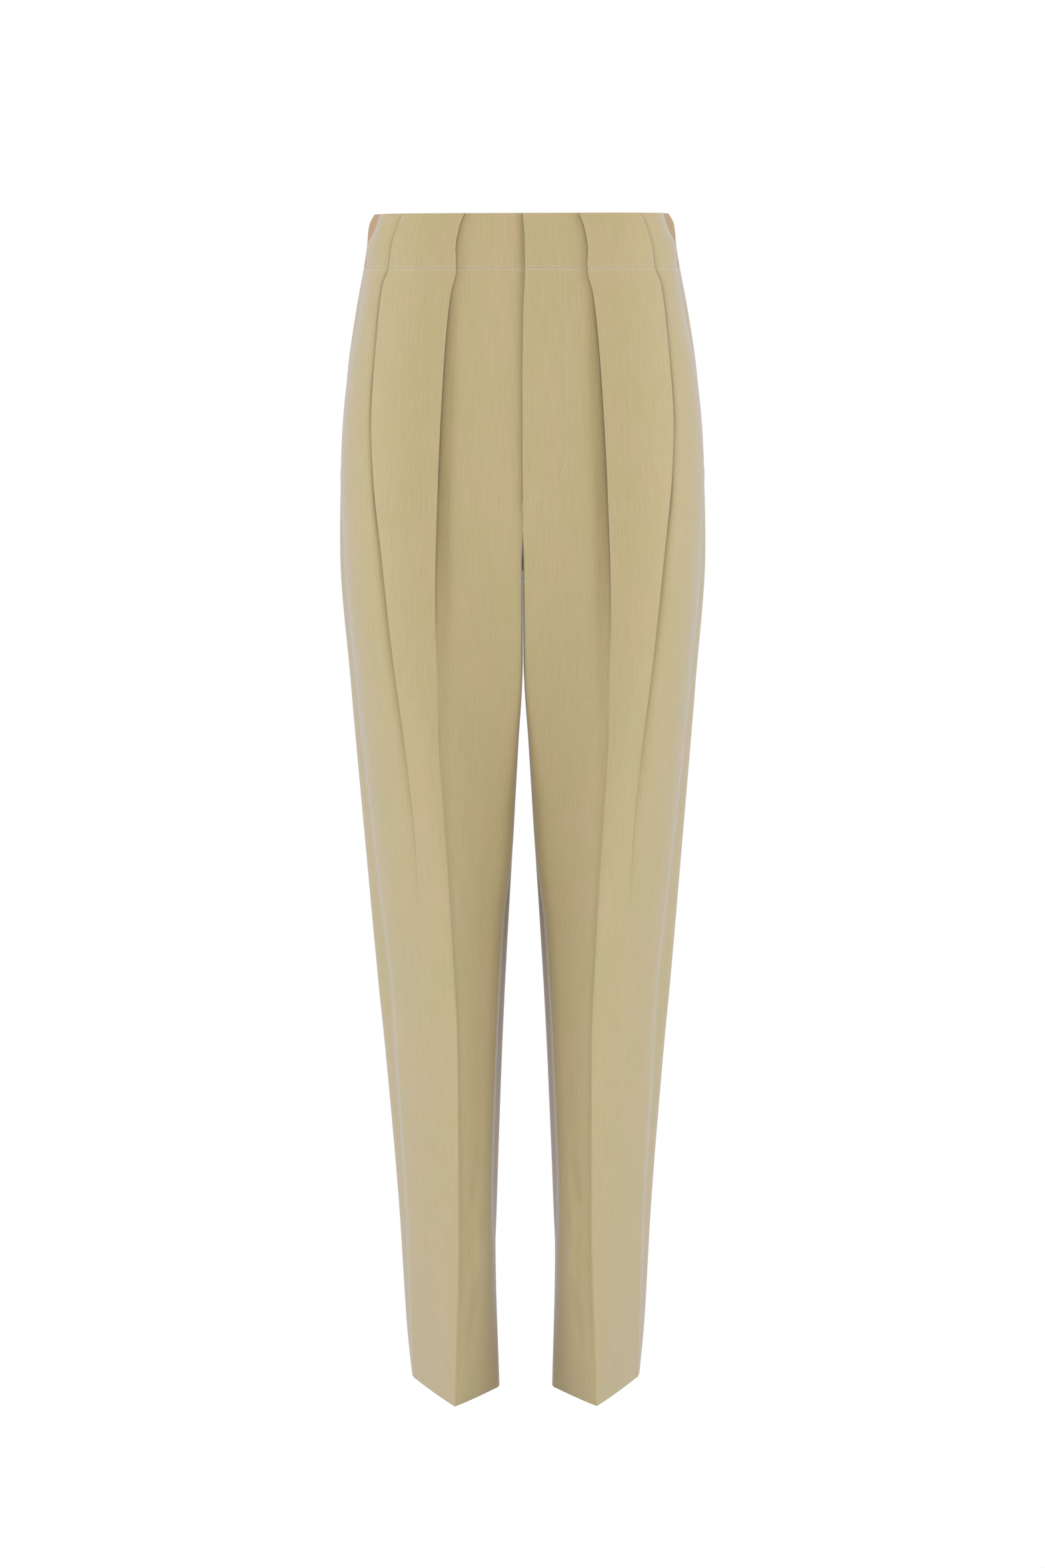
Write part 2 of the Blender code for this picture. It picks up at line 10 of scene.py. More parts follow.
import bmesh
import bpy
import numpy as np
from mathutils import Matrix, Vector
from mathutils.bvhtree import BVHTree
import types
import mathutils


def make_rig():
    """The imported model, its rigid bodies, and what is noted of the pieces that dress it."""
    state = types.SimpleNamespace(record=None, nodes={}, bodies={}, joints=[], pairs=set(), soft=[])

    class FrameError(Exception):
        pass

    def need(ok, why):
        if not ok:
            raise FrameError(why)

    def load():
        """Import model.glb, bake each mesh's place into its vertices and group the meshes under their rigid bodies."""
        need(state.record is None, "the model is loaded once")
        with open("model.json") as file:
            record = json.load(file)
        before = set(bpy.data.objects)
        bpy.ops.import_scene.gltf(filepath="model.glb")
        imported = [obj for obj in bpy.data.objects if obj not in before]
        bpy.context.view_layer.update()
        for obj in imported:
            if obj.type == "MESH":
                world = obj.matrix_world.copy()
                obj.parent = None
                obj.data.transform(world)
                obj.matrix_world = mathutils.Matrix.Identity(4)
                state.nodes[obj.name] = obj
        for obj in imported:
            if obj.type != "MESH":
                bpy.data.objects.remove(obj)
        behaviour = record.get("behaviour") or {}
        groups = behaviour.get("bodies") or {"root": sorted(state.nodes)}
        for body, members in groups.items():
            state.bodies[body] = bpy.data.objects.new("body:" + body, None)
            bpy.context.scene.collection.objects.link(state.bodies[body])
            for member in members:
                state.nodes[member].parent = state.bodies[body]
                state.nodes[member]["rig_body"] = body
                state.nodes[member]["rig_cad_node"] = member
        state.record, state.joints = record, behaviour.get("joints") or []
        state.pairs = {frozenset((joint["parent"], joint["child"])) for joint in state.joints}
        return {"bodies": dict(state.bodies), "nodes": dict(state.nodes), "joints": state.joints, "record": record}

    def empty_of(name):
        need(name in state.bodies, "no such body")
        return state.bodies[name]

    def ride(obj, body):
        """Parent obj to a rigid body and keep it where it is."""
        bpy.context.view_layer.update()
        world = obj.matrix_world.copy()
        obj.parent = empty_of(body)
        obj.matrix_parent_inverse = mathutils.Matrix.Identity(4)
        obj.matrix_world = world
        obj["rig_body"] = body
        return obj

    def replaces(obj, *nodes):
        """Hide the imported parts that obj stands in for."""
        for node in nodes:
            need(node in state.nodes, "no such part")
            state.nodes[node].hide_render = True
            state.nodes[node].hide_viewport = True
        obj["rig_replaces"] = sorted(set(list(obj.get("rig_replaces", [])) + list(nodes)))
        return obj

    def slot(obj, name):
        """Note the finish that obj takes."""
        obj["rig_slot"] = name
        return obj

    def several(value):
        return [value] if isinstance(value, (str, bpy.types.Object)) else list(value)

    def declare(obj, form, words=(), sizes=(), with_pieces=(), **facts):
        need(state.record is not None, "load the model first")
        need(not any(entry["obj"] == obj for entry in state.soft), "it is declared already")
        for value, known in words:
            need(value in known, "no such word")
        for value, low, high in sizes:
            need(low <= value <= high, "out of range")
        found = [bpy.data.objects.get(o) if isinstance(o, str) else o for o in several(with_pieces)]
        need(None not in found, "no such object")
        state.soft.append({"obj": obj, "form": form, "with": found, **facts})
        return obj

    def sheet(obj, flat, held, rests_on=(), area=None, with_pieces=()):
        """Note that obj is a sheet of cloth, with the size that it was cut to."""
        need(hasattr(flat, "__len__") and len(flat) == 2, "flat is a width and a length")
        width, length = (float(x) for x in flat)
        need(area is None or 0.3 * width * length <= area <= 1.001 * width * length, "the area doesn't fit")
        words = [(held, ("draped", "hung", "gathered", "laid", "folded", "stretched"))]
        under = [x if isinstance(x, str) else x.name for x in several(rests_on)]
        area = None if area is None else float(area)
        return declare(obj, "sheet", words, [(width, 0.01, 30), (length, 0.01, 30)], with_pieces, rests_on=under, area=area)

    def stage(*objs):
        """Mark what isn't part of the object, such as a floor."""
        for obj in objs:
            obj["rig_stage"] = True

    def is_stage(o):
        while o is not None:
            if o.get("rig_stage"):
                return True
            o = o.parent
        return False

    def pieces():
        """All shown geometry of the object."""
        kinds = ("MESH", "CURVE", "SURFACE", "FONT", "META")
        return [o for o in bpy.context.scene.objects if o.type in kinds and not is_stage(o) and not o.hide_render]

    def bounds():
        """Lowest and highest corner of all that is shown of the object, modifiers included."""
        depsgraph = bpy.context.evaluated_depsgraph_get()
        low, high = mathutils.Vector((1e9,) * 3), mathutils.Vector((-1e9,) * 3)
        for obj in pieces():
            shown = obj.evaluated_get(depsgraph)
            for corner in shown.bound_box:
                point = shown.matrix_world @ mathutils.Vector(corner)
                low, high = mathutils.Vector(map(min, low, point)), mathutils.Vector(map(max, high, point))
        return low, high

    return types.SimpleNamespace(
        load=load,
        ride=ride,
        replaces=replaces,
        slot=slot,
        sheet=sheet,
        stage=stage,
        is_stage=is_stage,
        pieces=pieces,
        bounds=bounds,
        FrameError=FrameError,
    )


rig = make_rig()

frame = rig.load()
cad_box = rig.bounds()
MM = 0.001


def placed(name, data):
    """A new object of the scene with this data, left at the origin."""
    thing = bpy.data.objects.new(name, data)
    bpy.context.collection.objects.link(thing)
    return thing



# ---------------------------------------------------------------- Camera, floor and light
# The photograph looks at the waist from a little below it, 3.4 m away, tilted down so that
# the waist edge is a flat line and the hems show as points. The light is soft: cool boxes
# at both sides, a warm one in front and pale walls. The ground is white.
IMAGE_HEIGHT_PX = 2352
FOCAL_PX = 5658
SENSOR = 36.0
camera_data = bpy.data.cameras.new("camera")
camera_data.sensor_width = SENSOR
camera_data.lens = SENSOR * FOCAL_PX / IMAGE_HEIGHT_PX
camera = placed("camera", camera_data)
CAMERA_PLACE = (-0.0010, -3.4, -0.03)
TILT_DOWN = math.radians(8.09)
ROLL = math.radians(-0.21)
turn = Matrix.Rotation(math.pi / 2 - TILT_DOWN, 4, "X") @ Matrix.Rotation(ROLL, 4, "Z")
camera.matrix_world = Matrix.Translation(CAMERA_PLACE) @ turn
bpy.context.scene.camera = camera
bpy.context.scene.view_settings.view_transform = "Standard"

FLOOR_Z = -1.12
FLOOR_SIZE = 30.0
floor_mesh = bpy.data.meshes.new("floor")
half = FLOOR_SIZE / 2
floor_mesh.from_pydata([(-half, -half, FLOOR_Z), (half, -half, FLOOR_Z),
                        (half, half, FLOOR_Z), (-half, half, FLOOR_Z)], [], [(0, 1, 2, 3)])
floor = placed("floor", floor_mesh)


def seen_as(tree, lit, seen, output):
    """Light the scene with one shader, and show the camera another."""
    ray = tree.nodes.new("ShaderNodeLightPath")
    choice = tree.nodes.new("ShaderNodeMixShader")
    tree.links.new(ray.outputs["Is Camera Ray"], choice.inputs["Fac"])
    tree.links.new(lit.outputs[0], choice.inputs[1])
    tree.links.new(seen.outputs[0], choice.inputs[2])
    tree.links.new(choice.outputs["Shader"], tree.nodes[output].inputs["Surface"])


FLOOR_GREY = 0.60
floor_material = bpy.data.materials.new("pale_floor")
floor_material.use_nodes = True
paint = floor_material.node_tree
matt, white = paint.nodes["Principled BSDF"], paint.nodes.new("ShaderNodeEmission")
matt.inputs["Base Color"].default_value = (FLOOR_GREY, FLOOR_GREY, FLOOR_GREY, 1)
matt.inputs["Roughness"].default_value = 1.0
matt.inputs["Specular IOR Level"].default_value = 0.0
seen_as(paint, matt, white, "Material Output")
floor_mesh.materials.append(floor_material)
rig.stage(floor)

WALL_LIGHT = 0.72
world = bpy.data.worlds.new("studio")
world.use_nodes = True
room = world.node_tree
walls, ground = room.nodes["Background"], room.nodes.new("ShaderNodeBackground")
walls.inputs["Color"].default_value = (1.0, 0.98, 0.93, 1)
walls.inputs["Strength"].default_value = WALL_LIGHT
ground.inputs["Color"].default_value = (1.0, 1.0, 1.0, 1)
seen_as(room, walls, ground, "World Output")
bpy.context.scene.world = world

BOX_HEIGHT = 2.2


def softbox(name, place, aim, width, power, colour):
    """An upright area light at a place, turned towards a point."""
    data = bpy.data.lights.new(name, "AREA")
    data.shape = "RECTANGLE"
    data.size, data.size_y = width, BOX_HEIGHT
    data.energy = power
    data.color = colour
    away = Vector(place) - Vector(aim)
    turned = away.to_track_quat("Z", "Y").to_matrix().to_4x4()
    placed(name, data).matrix_world = Matrix.Translation(place) @ turned


MIDDLE = (0, 0, -0.5)
SIDE_LIGHT = (0.78, 0.87, 1.0)
softbox("left_box", (-2.8, -0.75, -0.7), MIDDLE, 1.2, 42.0, SIDE_LIGHT)
softbox("right_box", (2.8, -0.75, -0.7), MIDDLE, 1.2, 42.0, SIDE_LIGHT)
softbox("front_box", (0.0, -3.9, 0.3), MIDDLE, 2.4, 26.0, (1.0, 0.97, 0.92))

# ------------------------------------------------------------------------ Front panels
# Two fronts of worsted wool twill, each cut with two pleats that open towards each other,
# so its middle stands proud of the fly side and of the side panel. The inner pleat runs
# down into the pressed crease. The left front laps over the right one at the fly.
WALL = 1.4 * MM
CLOTH = 0.9 * MM
SEAM = 0.12 * MM
FOLD_RADIUS = WALL / 2 + 0.2 * MM
FOLD_STRETCH = 1.5 * MM
CREASE_REACH = 22.0 * MM
CENTRE_REACH = 14.0 * MM
FALL_CURVE = 1.15
FRONT_FORK = 270.0 * MM
BACK_FORK = 235.0 * MM
CROTCH_DROP = 318.0 * MM
CROTCH_Y = 15.0 * MM
WAIST_SEAM = 47.0 * MM
LENGTH = 1073.0 * MM
FLY_WIDTH = 36.0 * MM
FLY_END = 249.0 * MM
LAP = 6.0 * MM
LAP_END = 185.0 * MM
LAP_RISE = WALL + 0.4 * MM
MOUTH_TOP = 84.0 * MM
MOUTH_END = 226.0 * MM
MOUTH_RISE = 1.2 * MM
MOUTH_REACH = 12.0 * MM
WALL_STEPS = 22
FLY_STEPS = 34
BEND_STEPS = 6
MIDDLE_STEPS = 34
SIDE_STEPS = 26
RING_STEP = 4.2 * MM
DENSE = 400
FORK_RUN = 23.0 * MM
CROTCH_RINGS = 26
FOLD_POINTS = 2 * (BEND_STEPS + 1)
INNER_FOLD = WALL_STEPS + FLY_STEPS
CREASE_INDEX = INNER_FOLD + FOLD_POINTS - 1
OUTER_FOLD = CREASE_INDEX + MIDDLE_STEPS


def table(columns, *rows):
    """Named columns: the first is the depth below the waist edge, and all are in millimetres."""
    return dict(zip(columns.split(), np.array(rows, float).T))


SIDE = table(
    "below widest_x seam_inset seam_y widest_y",
    (0, 131.5, 6.5, -30, 0),
    (9, 136.0, 7.8, -26, 0),
    (16, 137.2, 6.0, -24, 0),
    (28, 138.3, 1.0, -9, 2),
    (47, 141.4, 2.5, -12, 3),
    (82, 148.2, 4.4, -15, 4),
    (140, 157.0, 2.0, -10, 5),
    (225, 163.7, 0.6, -6, 6),
    (300, 165.5, 5.5, -16, 8),
    (418, 157.5, 7.2, -20, 12),
    (590, 144.0, 11.5, -18, 18),
    (700, 135.2, 14.3, -12, 24),
    (764, 129.4, 11.5, -8, 26),
    (915, 117.8, 8.0, -2, 30),
    (1030, 111.5, 4.5, 6, 32),
    (1073, 107.5, 1.7, 10, 32),
)
INSEAM = table(
    "below innermost_x seam_inset seam_y innermost_y",
    (318, 0.85, 0.0, 15, 15),
    (400, 1.1, 0.0, 12, 14),
    (470, 5.0, 0.0, 8, 12),
    (560, 9.9, 0.2, 2, 10),
    (642, 14.8, 5.0, -14, 12),
    (730, 19.6, 5.5, -22, 14),
    (855, 24.8, 5.0, -26, 14),
    (915, 26.9, 3.0, -24, 8),
    (945, 28.0, 0.5, -22, 0),
    (1073, 25.1, 0.0, -22, -10),
)
DEPTH = table(
    "below centre_y crease_y back_crease_y back_centre_y back_crease_x",
    (0, -97, -93, 88, 92, 62),
    (47, -100, -96, 94, 98, 64),
    (140, -107, -104, 114, 119, 69),
    (220, -110.5, -109, 124, 129, 72),
    (300, -112, -111.5, 117, 119, 73),
    (418, -109, -109, 103, 103, 74),
    (590, -99, -99, 90, 90, 72),
    (764, -90, -90, 83, 83, 68),
    (915, -86, -86, 78, 78, 66),
    (1073, -83, -83, 72, 72, 64.4),
)
# Exponents of the superellipse quarters: 2 is round, 1 straight, and a large one square.
# The ridge is how far a pressed crease is drawn out of the quarter, and the fall is how far
# the front drops back from the crease to the inner corner.
ROUNDNESS = table(
    "below front_outer front_inner back_outer back_inner ridge fall",
    (0, 2.2, 30, 2.1, 30, 0.0, 0),
    (235, 2.2, 30, 2.3, 30, 0.0, 0),
    (270, 2.1, 70, 2.3, 20, 0.0, 0),
    (318, 2.0, 70, 2.3, 14, 0.0, 5),
    (365, 1.85, 60, 2.2, 7, 0.5, 12),
    (418, 1.7, 36, 2.1, 4.5, 1.5, 22),
    (470, 1.55, 20, 2.05, 3.6, 2.0, 30),
    (530, 1.4, 12, 2.0, 3, 2.5, 36),
    (610, 1.3, 11, 1.8, 2.3, 2.5, 38),
    (700, 1.22, 9, 1.7, 2.0, 2.2, 34),
    (764, 1.17, 8, 1.6, 1.8, 2.0, 31),
    (840, 1.13, 6, 1.5, 1.6, 1.8, 26),
    (915, 1.1, 3.6, 1.45, 1.5, 1.5, 18),
    (990, 1.07, 1.9, 1.4, 1.35, 0.8, 8),
    (1073, 1.05, 1.05, 1.3, 1.2, 0.0, 0),
)
# The pleats: where the fold's edge shows from the front, how far its two bends turn, in
# degrees, and the cloth that lies under between them. The inner one runs on as the crease.
INNER_PLEAT = table(
    "below edge_x turn underlay",
    (0, 49.6, 180, 9.0),
    (12, 54.5, 180, 9.0),
    (32, 57.7, 180, 9.0),
    (47, 57.0, 180, 9.0),
    (70, 62.2, 180, 8.5),
    (110, 66.8, 180, 7.5),
    (184, 71.8, 180, 5.0),
    (253, 74.9, 180, 0.6),
    (340, 77.3, 110, 0.6),
    (450, 76.4, 0, 0.6),
    (534, 71.3, 0, 0.6),
    (625, 65.7, 0, 0.6),
    (752, 60.4, 0, 0.6),
    (890, 60.3, 0, 0.6),
    (1073, 64.4, 0, 0.6),
)
OUTER_PLEAT = table(
    "below edge_x turn underlay",
    (0, 103.4, 180, 8.0),
    (12, 108.5, 180, 8.0),
    (30, 114.0, 180, 8.0),
    (47, 116.0, 180, 8.0),
    (62, 121.9, 180, 7.5),
    (103, 127.0, 180, 7.0),
    (185, 132.6, 180, 5.0),
    (225, 131.3, 180, 4.0),
    (302, 123.8, 180, 0.6),
    (395, 114.5, 140, 0.6),
    (481, 104.5, 80, 0.6),
    (566, 95.8, 30, 0.6),
    (640, 91.0, 0, 0.6),
    (1073, 84.0, 0, 0.6),
)


def read(rows, column, below):
    """A table's column at one depth: a cubic through its rows that never overshoots them."""
    x, y = rows["below"], rows[column]
    depth = min(max(below / MM, x[0]), x[-1])
    step = np.diff(x)
    rise = np.diff(y) / step
    before, after = rise[:-1], rise[1:]
    agree = before * after > 0
    weight = 2 * (np.abs(before) + np.abs(after)) + 1e-12
    inside = np.where(agree, 4 * before * after * np.sign(before) / weight, 0.0)
    slope = np.concatenate([[rise[0]], inside, [rise[-1]]])
    i = min(np.searchsorted(x, depth, side="right") - 1, len(step) - 1)
    t = (depth - x[i]) / step[i]
    start = (1 + 2 * t) * (1 - t) ** 2 * y[i] + t * (1 - t) ** 2 * step[i] * slope[i]
    end = t * t * (3 - 2 * t) * y[i + 1] + t * t * (t - 1) * step[i] * slope[i + 1]
    return float(start + end)


def size(rows, column, below):
    """A table's column at one depth, in metres."""
    return read(rows, column, below) * MM


def sizes(rows, below):
    """All of a table's columns at one depth, in metres."""
    return [size(rows, column, below) for column in rows if column != "below"]


def ease(t):
    """Runs smoothly from 0 to 1 as t does, and stays level beyond."""
    t = np.clip(t, 0.0, 1.0)
    return t * t * (3 - 2 * t)


class Ring:
    """The named points of one level ring, on the wearer's left side."""

    def __init__(self, below):
        self.below = below
        widest_x, inset, seam_y, widest_y = sizes(SIDE, below)
        self.widest = (widest_x - WALL / 2, widest_y)
        self.side = (self.widest[0] - inset, seam_y)
        innermost_x, inset, seam_y, innermost_y = sizes(INSEAM, below)
        self.innermost = (innermost_x, innermost_y)
        self.inseam = (innermost_x + inset, seam_y)
        self.centre_y, crease_y, back_y, self.back_centre_y, back_x = sizes(DEPTH, below)
        self.crease = (size(INNER_PLEAT, "edge_x", below), crease_y)
        self.back_crease = (back_x, back_y)
        self.round = {name: read(ROUNDNESS, name, below) for name in ROUNDNESS}
        self.ridge = size(ROUNDNESS, "ridge", below)
        self.fall = size(ROUNDNESS, "fall", below)


def crotch_seam_y(below, fork, start_y):
    """Where the centre seam lies at a depth: a quarter ellipse from the fork to the crotch."""
    share = min((below - fork) / (CROTCH_DROP - fork), 1.0)
    return CROTCH_Y + (start_y - CROTCH_Y) * math.sqrt(1 - share * share)


def quarter(tip, side, power):
    """Superellipse quarter from a crease tip round to a side point, evenly in its angle."""
    angle = np.linspace(0, math.pi / 2, DENSE)
    across = np.sin(angle) ** (2 / power)
    along = np.cos(angle) ** (2 / power)
    return np.stack([tip[0] + (side[0] - tip[0]) * across,
                     side[1] + (tip[1] - side[1]) * along], axis=1)


def corner_quarter(tip, side, power, edge_y):
    """Superellipse quarter from a crease tip to a side point, cut off level with edge_y.

    It comes in two stretches that meet where it turns most: across the front or back, and
    along the inner wall, evenly spaced in x and in y.
    """
    turn = 2 ** (-1 / power)
    across = np.linspace(0, turn, DENSE)
    face = np.stack([tip[0] + (side[0] - tip[0]) * across,
                     side[1] + (tip[1] - side[1]) * (1 - across**power) ** (1 / power)], axis=1)
    stop = (edge_y - side[1]) / (tip[1] - side[1])
    along = np.linspace(turn, stop, DENSE)
    kept = np.clip(along, 0.0, 1.0)
    wall = np.stack([tip[0] + (side[0] - tip[0]) * (1 - kept**power) ** (1 / power),
                     side[1] + (tip[1] - side[1]) * along], axis=1)
    return face, wall


def drawn_out(line, tip, ridge):
    """Draw a stretch out to a pressed crease: the ridge dies away with distance from it."""
    away = np.linalg.norm(line - np.array(tip), axis=1)
    lift = ridge * np.exp(-away / CREASE_REACH)
    return line + np.stack([np.zeros(len(line)), math.copysign(1, tip[1]) * lift], axis=1)


def fallen(face, wall, fall, span):
    """Let a front drop back by fall from its crease to its inner corner, and shorten the wall."""
    drop = fall * ((face[0, 0] - face[:, 0]) / span) ** FALL_CURVE
    left = (wall[-1, 1] - wall[:, 1]) / (wall[-1, 1] - wall[0, 1])
    return face + np.outer(drop, (0, 1)), wall + np.outer(drop[-1] * left, (0, 1))


def drawn_to_centre(face, wall):
    """Bring the edge of a panel between fork and crotch in to the centre seam, and ease off."""
    edge = wall[-1]
    shift = SEAM / 2 - edge[0]
    for part in (face, wall):
        away = np.linalg.norm(part - edge, axis=1)
        part[:, 0] += shift * ease(1 - away / CENTRE_REACH)


def front_stretches(ring, inner_x):
    """Inner wall, fly panel and outer front of a ring, each in the order centre to side."""
    outer = drawn_out(quarter(ring.crease, ring.side, ring.round["front_outer"]),
                      ring.crease, ring.ridge)
    if ring.below <= FRONT_FORK:
        x = np.linspace(inner_x, ring.crease[0], DENSE)
        y = ring.centre_y + (ring.crease[1] - ring.centre_y) * (x / ring.crease[0]) ** 2
        return None, np.stack([x, y], axis=1), outer
    seam_y = crotch_seam_y(ring.below, FRONT_FORK, ring.centre_y)
    if ring.below >= CROTCH_DROP:
        seam_y = ring.inseam[1]
    face, wall = corner_quarter(ring.crease, ring.inseam, ring.round["front_inner"],
                                seam_y - SEAM / 2)
    face, wall = fallen(face, wall, ring.fall, ring.crease[0] - ring.inseam[0])
    face = drawn_out(face, ring.crease, ring.ridge)
    wall = drawn_out(wall, ring.crease, ring.ridge)
    if ring.below < CROTCH_DROP:
        drawn_to_centre(face, wall)
    return wall[::-1], face[::-1], outer


def back_stretches(ring):
    """Outer back, seat and inner wall of a ring, each in the order side to centre."""
    t = np.linspace(0, 1, DENSE // 4)[:-1]
    x = ring.side[0] + (ring.widest[0] - ring.side[0]) * ease(t)
    y = ring.side[1] + (ring.widest[1] - ring.side[1]) * t
    haunch = np.stack([x, y], axis=1)
    outer = drawn_out(quarter(ring.back_crease, ring.widest, ring.round["back_outer"]),
                      ring.back_crease, ring.ridge)[::-1]
    if ring.below <= BACK_FORK:
        x = np.linspace(ring.back_crease[0], SEAM / 2, DENSE)
        share = (x / ring.back_crease[0]) ** 2
        y = ring.back_centre_y + (ring.back_crease[1] - ring.back_centre_y) * share
        return haunch, outer, np.stack([x, y], axis=1), None
    seam_y = crotch_seam_y(ring.below, BACK_FORK, ring.back_centre_y)
    inner = ring.innermost
    if ring.below >= CROTCH_DROP:
        seam_y = ring.inseam[1]
    face, wall = corner_quarter(ring.back_crease, inner, ring.round["back_inner"],
                                seam_y + SEAM / 2)
    past = np.clip((inner[1] - wall[:, 1]) / max(inner[1] - ring.inseam[1], SEAM), 0, 1)
    wall[:, 0] += (ring.inseam[0] - inner[0]) * ease(past)
    face = drawn_out(face, ring.back_crease, ring.ridge)
    wall = drawn_out(wall, ring.back_crease, ring.ridge)
    if ring.below < CROTCH_DROP:
        drawn_to_centre(face, wall)
    return haunch, outer, face, wall


class Path:
    """A line in plan that gives the point at a length along it, moved out from the body."""

    def __init__(self, *stretches):
        points = [stretches[0]]
        for stretch in stretches[1:]:
            near = np.linalg.norm(stretch[0] - points[-1][-1]) < 1e-7
            points.append(stretch[1:] if near else stretch)
        self.points = np.concatenate(points)
        self.length = girth(self.points, 0)
        self.normals = normals(self.points)[0]

    def at(self, along, out=0.0):
        """Points at lengths along the line, moved out along its normal."""
        point = [np.interp(along, self.length, self.points[:, k]) for k in (0, 1)]
        normal = [np.interp(along, self.length, self.normals[:, k]) for k in (0, 1)]
        return np.stack([point[0] + out * normal[0], point[1] + out * normal[1]], axis=1)

    def where_x(self, x, out, between):
        """Length along the line where it shows at x once it is moved out."""
        shown = self.points[:, 0] + out * self.normals[:, 0]
        part = (self.length >= between[0]) & (self.length <= between[1])
        return float(np.interp(x, shown[part], self.length[part]))


def normals(points):
    """Outward normals of a line, and how much longer a mitred offset is at each point."""
    step = np.diff(points, axis=0)
    step /= np.maximum(np.linalg.norm(step, axis=1, keepdims=True), 1e-12)
    before = np.vstack([step[:1], step])
    after = np.vstack([step, step[-1:]])
    middle = before + after
    middle /= np.maximum(np.linalg.norm(middle, axis=1, keepdims=True), 1e-12)
    mitre = 1 / np.maximum((middle * after).sum(1), 0.5)
    return np.stack([middle[:, 1], -middle[:, 0]], axis=1), mitre


def pleat(turn, underlay):
    """One fold in plan, as lengths along and out: bend up and back, lie under, bend again.

    It starts level with the lower panel and ends level with the upper one. The edge that
    shows is at length 0.
    """
    angle = math.radians(turn)
    radius = max(FOLD_RADIUS, FOLD_STRETCH / max(angle, 1e-6))
    if angle < 1e-3:
        along = np.linspace(-2 * FOLD_STRETCH, 0, 2 * BEND_STEPS + 2)
        return along, np.zeros_like(along)
    swing = np.linspace(0, angle, BEND_STEPS + 1)
    first = np.stack([radius * np.sin(swing), radius * (1 - np.cos(swing))])
    start = first[:, -1] + underlay * np.array([math.cos(angle), math.sin(angle)])
    back = swing[::-1]
    second = np.stack([start[0] + radius * (math.sin(angle) - np.sin(back)),
                       start[1] + radius * (np.cos(back) - math.cos(angle))])
    along, out = np.concatenate([first, second], axis=1)
    shown = along[-1] - radius * (1 - max(math.cos(angle), 0.0))
    return along - shown, out


def even(start, end, steps):
    """Evenly placed lengths from start to end, without the end."""
    return np.linspace(start, end, steps + 1)[:-1]


def opened_by(steps):
    """The share of a dip that each point of a fold takes: all, then less, then none."""
    return np.concatenate([np.ones(steps + 1), np.linspace(0.5, 0.0, steps + 1)])


def sunk(distance, reach):
    """How far a lower panel sinks towards a fold: fully at it, not at all past its reach."""
    return ease(1 - distance / reach) ** 1.5


def front_line(ring, lapping):
    """The middle of the wall of a front at one ring, centre to side, and its crease's index."""
    below = ring.below
    if lapping:
        inner_x = SEAM / 2 + size(FLY_EDGE, "edge_x", below)
    else:
        overlap = 1 - ease((below - LAP_END) / (BACK_FORK - LAP_END))
        inner_x = SEAM / 2 - (LAP + SEAM) * overlap
    wall, face, outer = front_stretches(ring, inner_x)
    path = Path(face, outer)
    crease = girth(face, 0)[-1]
    end = path.length[-1]
    inner_fold, inner_out = pleat(read(INNER_PLEAT, "turn", below),
                                  size(INNER_PLEAT, "underlay", below))
    inner_fold = crease + inner_fold
    outer_fold, outer_out = pleat(read(OUTER_PLEAT, "turn", below),
                                  size(OUTER_PLEAT, "underlay", below))
    edge = path.where_x(size(OUTER_PLEAT, "edge_x", below), outer_out[-1], (crease, end))
    outer_fold, outer_out = edge - outer_fold[::-1], outer_out[::-1]
    fly = even(0, inner_fold[0], FLY_STEPS)
    fly_x = path.at(fly)[:, 0]
    fade = 1 - ease((below - FLY_END) / (FRONT_FORK - FLY_END))
    fly_out = LAP_RISE * fade * ease(1 - fly_x / FLY_WIDTH) if lapping else np.zeros(FLY_STEPS)
    share = even(0, 1, MIDDLE_STEPS)[1:]
    middle = inner_fold[-1] + (outer_fold[0] - inner_fold[-1]) * share
    middle_out = inner_out[-1] + (outer_out[0] - inner_out[-1]) * share
    side = np.linspace(outer_fold[-1], end - SEAM / 2, SIDE_STEPS + 1)[1:]
    down = min(max((below - MOUTH_TOP) / (MOUTH_END - MOUTH_TOP), 0), 1)
    side_out = MOUTH_RISE * math.sin(math.pi * down) * ease(1 - (end - side) / MOUTH_REACH)
    inner_dip, inner_reach, outer_dip, outer_reach = sizes(OPEN, below)
    fly_out = fly_out - inner_dip * sunk(inner_fold[0] - fly, inner_reach)
    inner_out = inner_out - inner_dip * opened_by(BEND_STEPS)
    side_out = side_out - outer_dip * sunk(side - outer_fold[-1], outer_reach)
    outer_out = outer_out - outer_dip * opened_by(BEND_STEPS)[::-1]
    line = path.at(np.concatenate([fly, inner_fold, middle, outer_fold, side]),
                   np.concatenate([fly_out, inner_out, middle_out, outer_out, side_out]))
    if wall is None:
        return np.concatenate([np.repeat(line[:1], WALL_STEPS, axis=0), line]), CREASE_INDEX
    inner = Path(wall)
    inside = inner.at(even(0, inner.length[-1], WALL_STEPS))
    return np.concatenate([inside, line]), CREASE_INDEX


def below_fork(line_of, ring, fork):
    """A panel's line at a ring. Close under the fork it runs straight between two rings."""
    line, zero = line_of(ring)
    share = (ring.below - fork) / FORK_RUN
    if 0 < share < 1:
        upper, lower = line_of(Ring(fork))[0], line_of(Ring(fork + FORK_RUN))[0]
        line = upper + (lower - upper) * share
    return line, zero


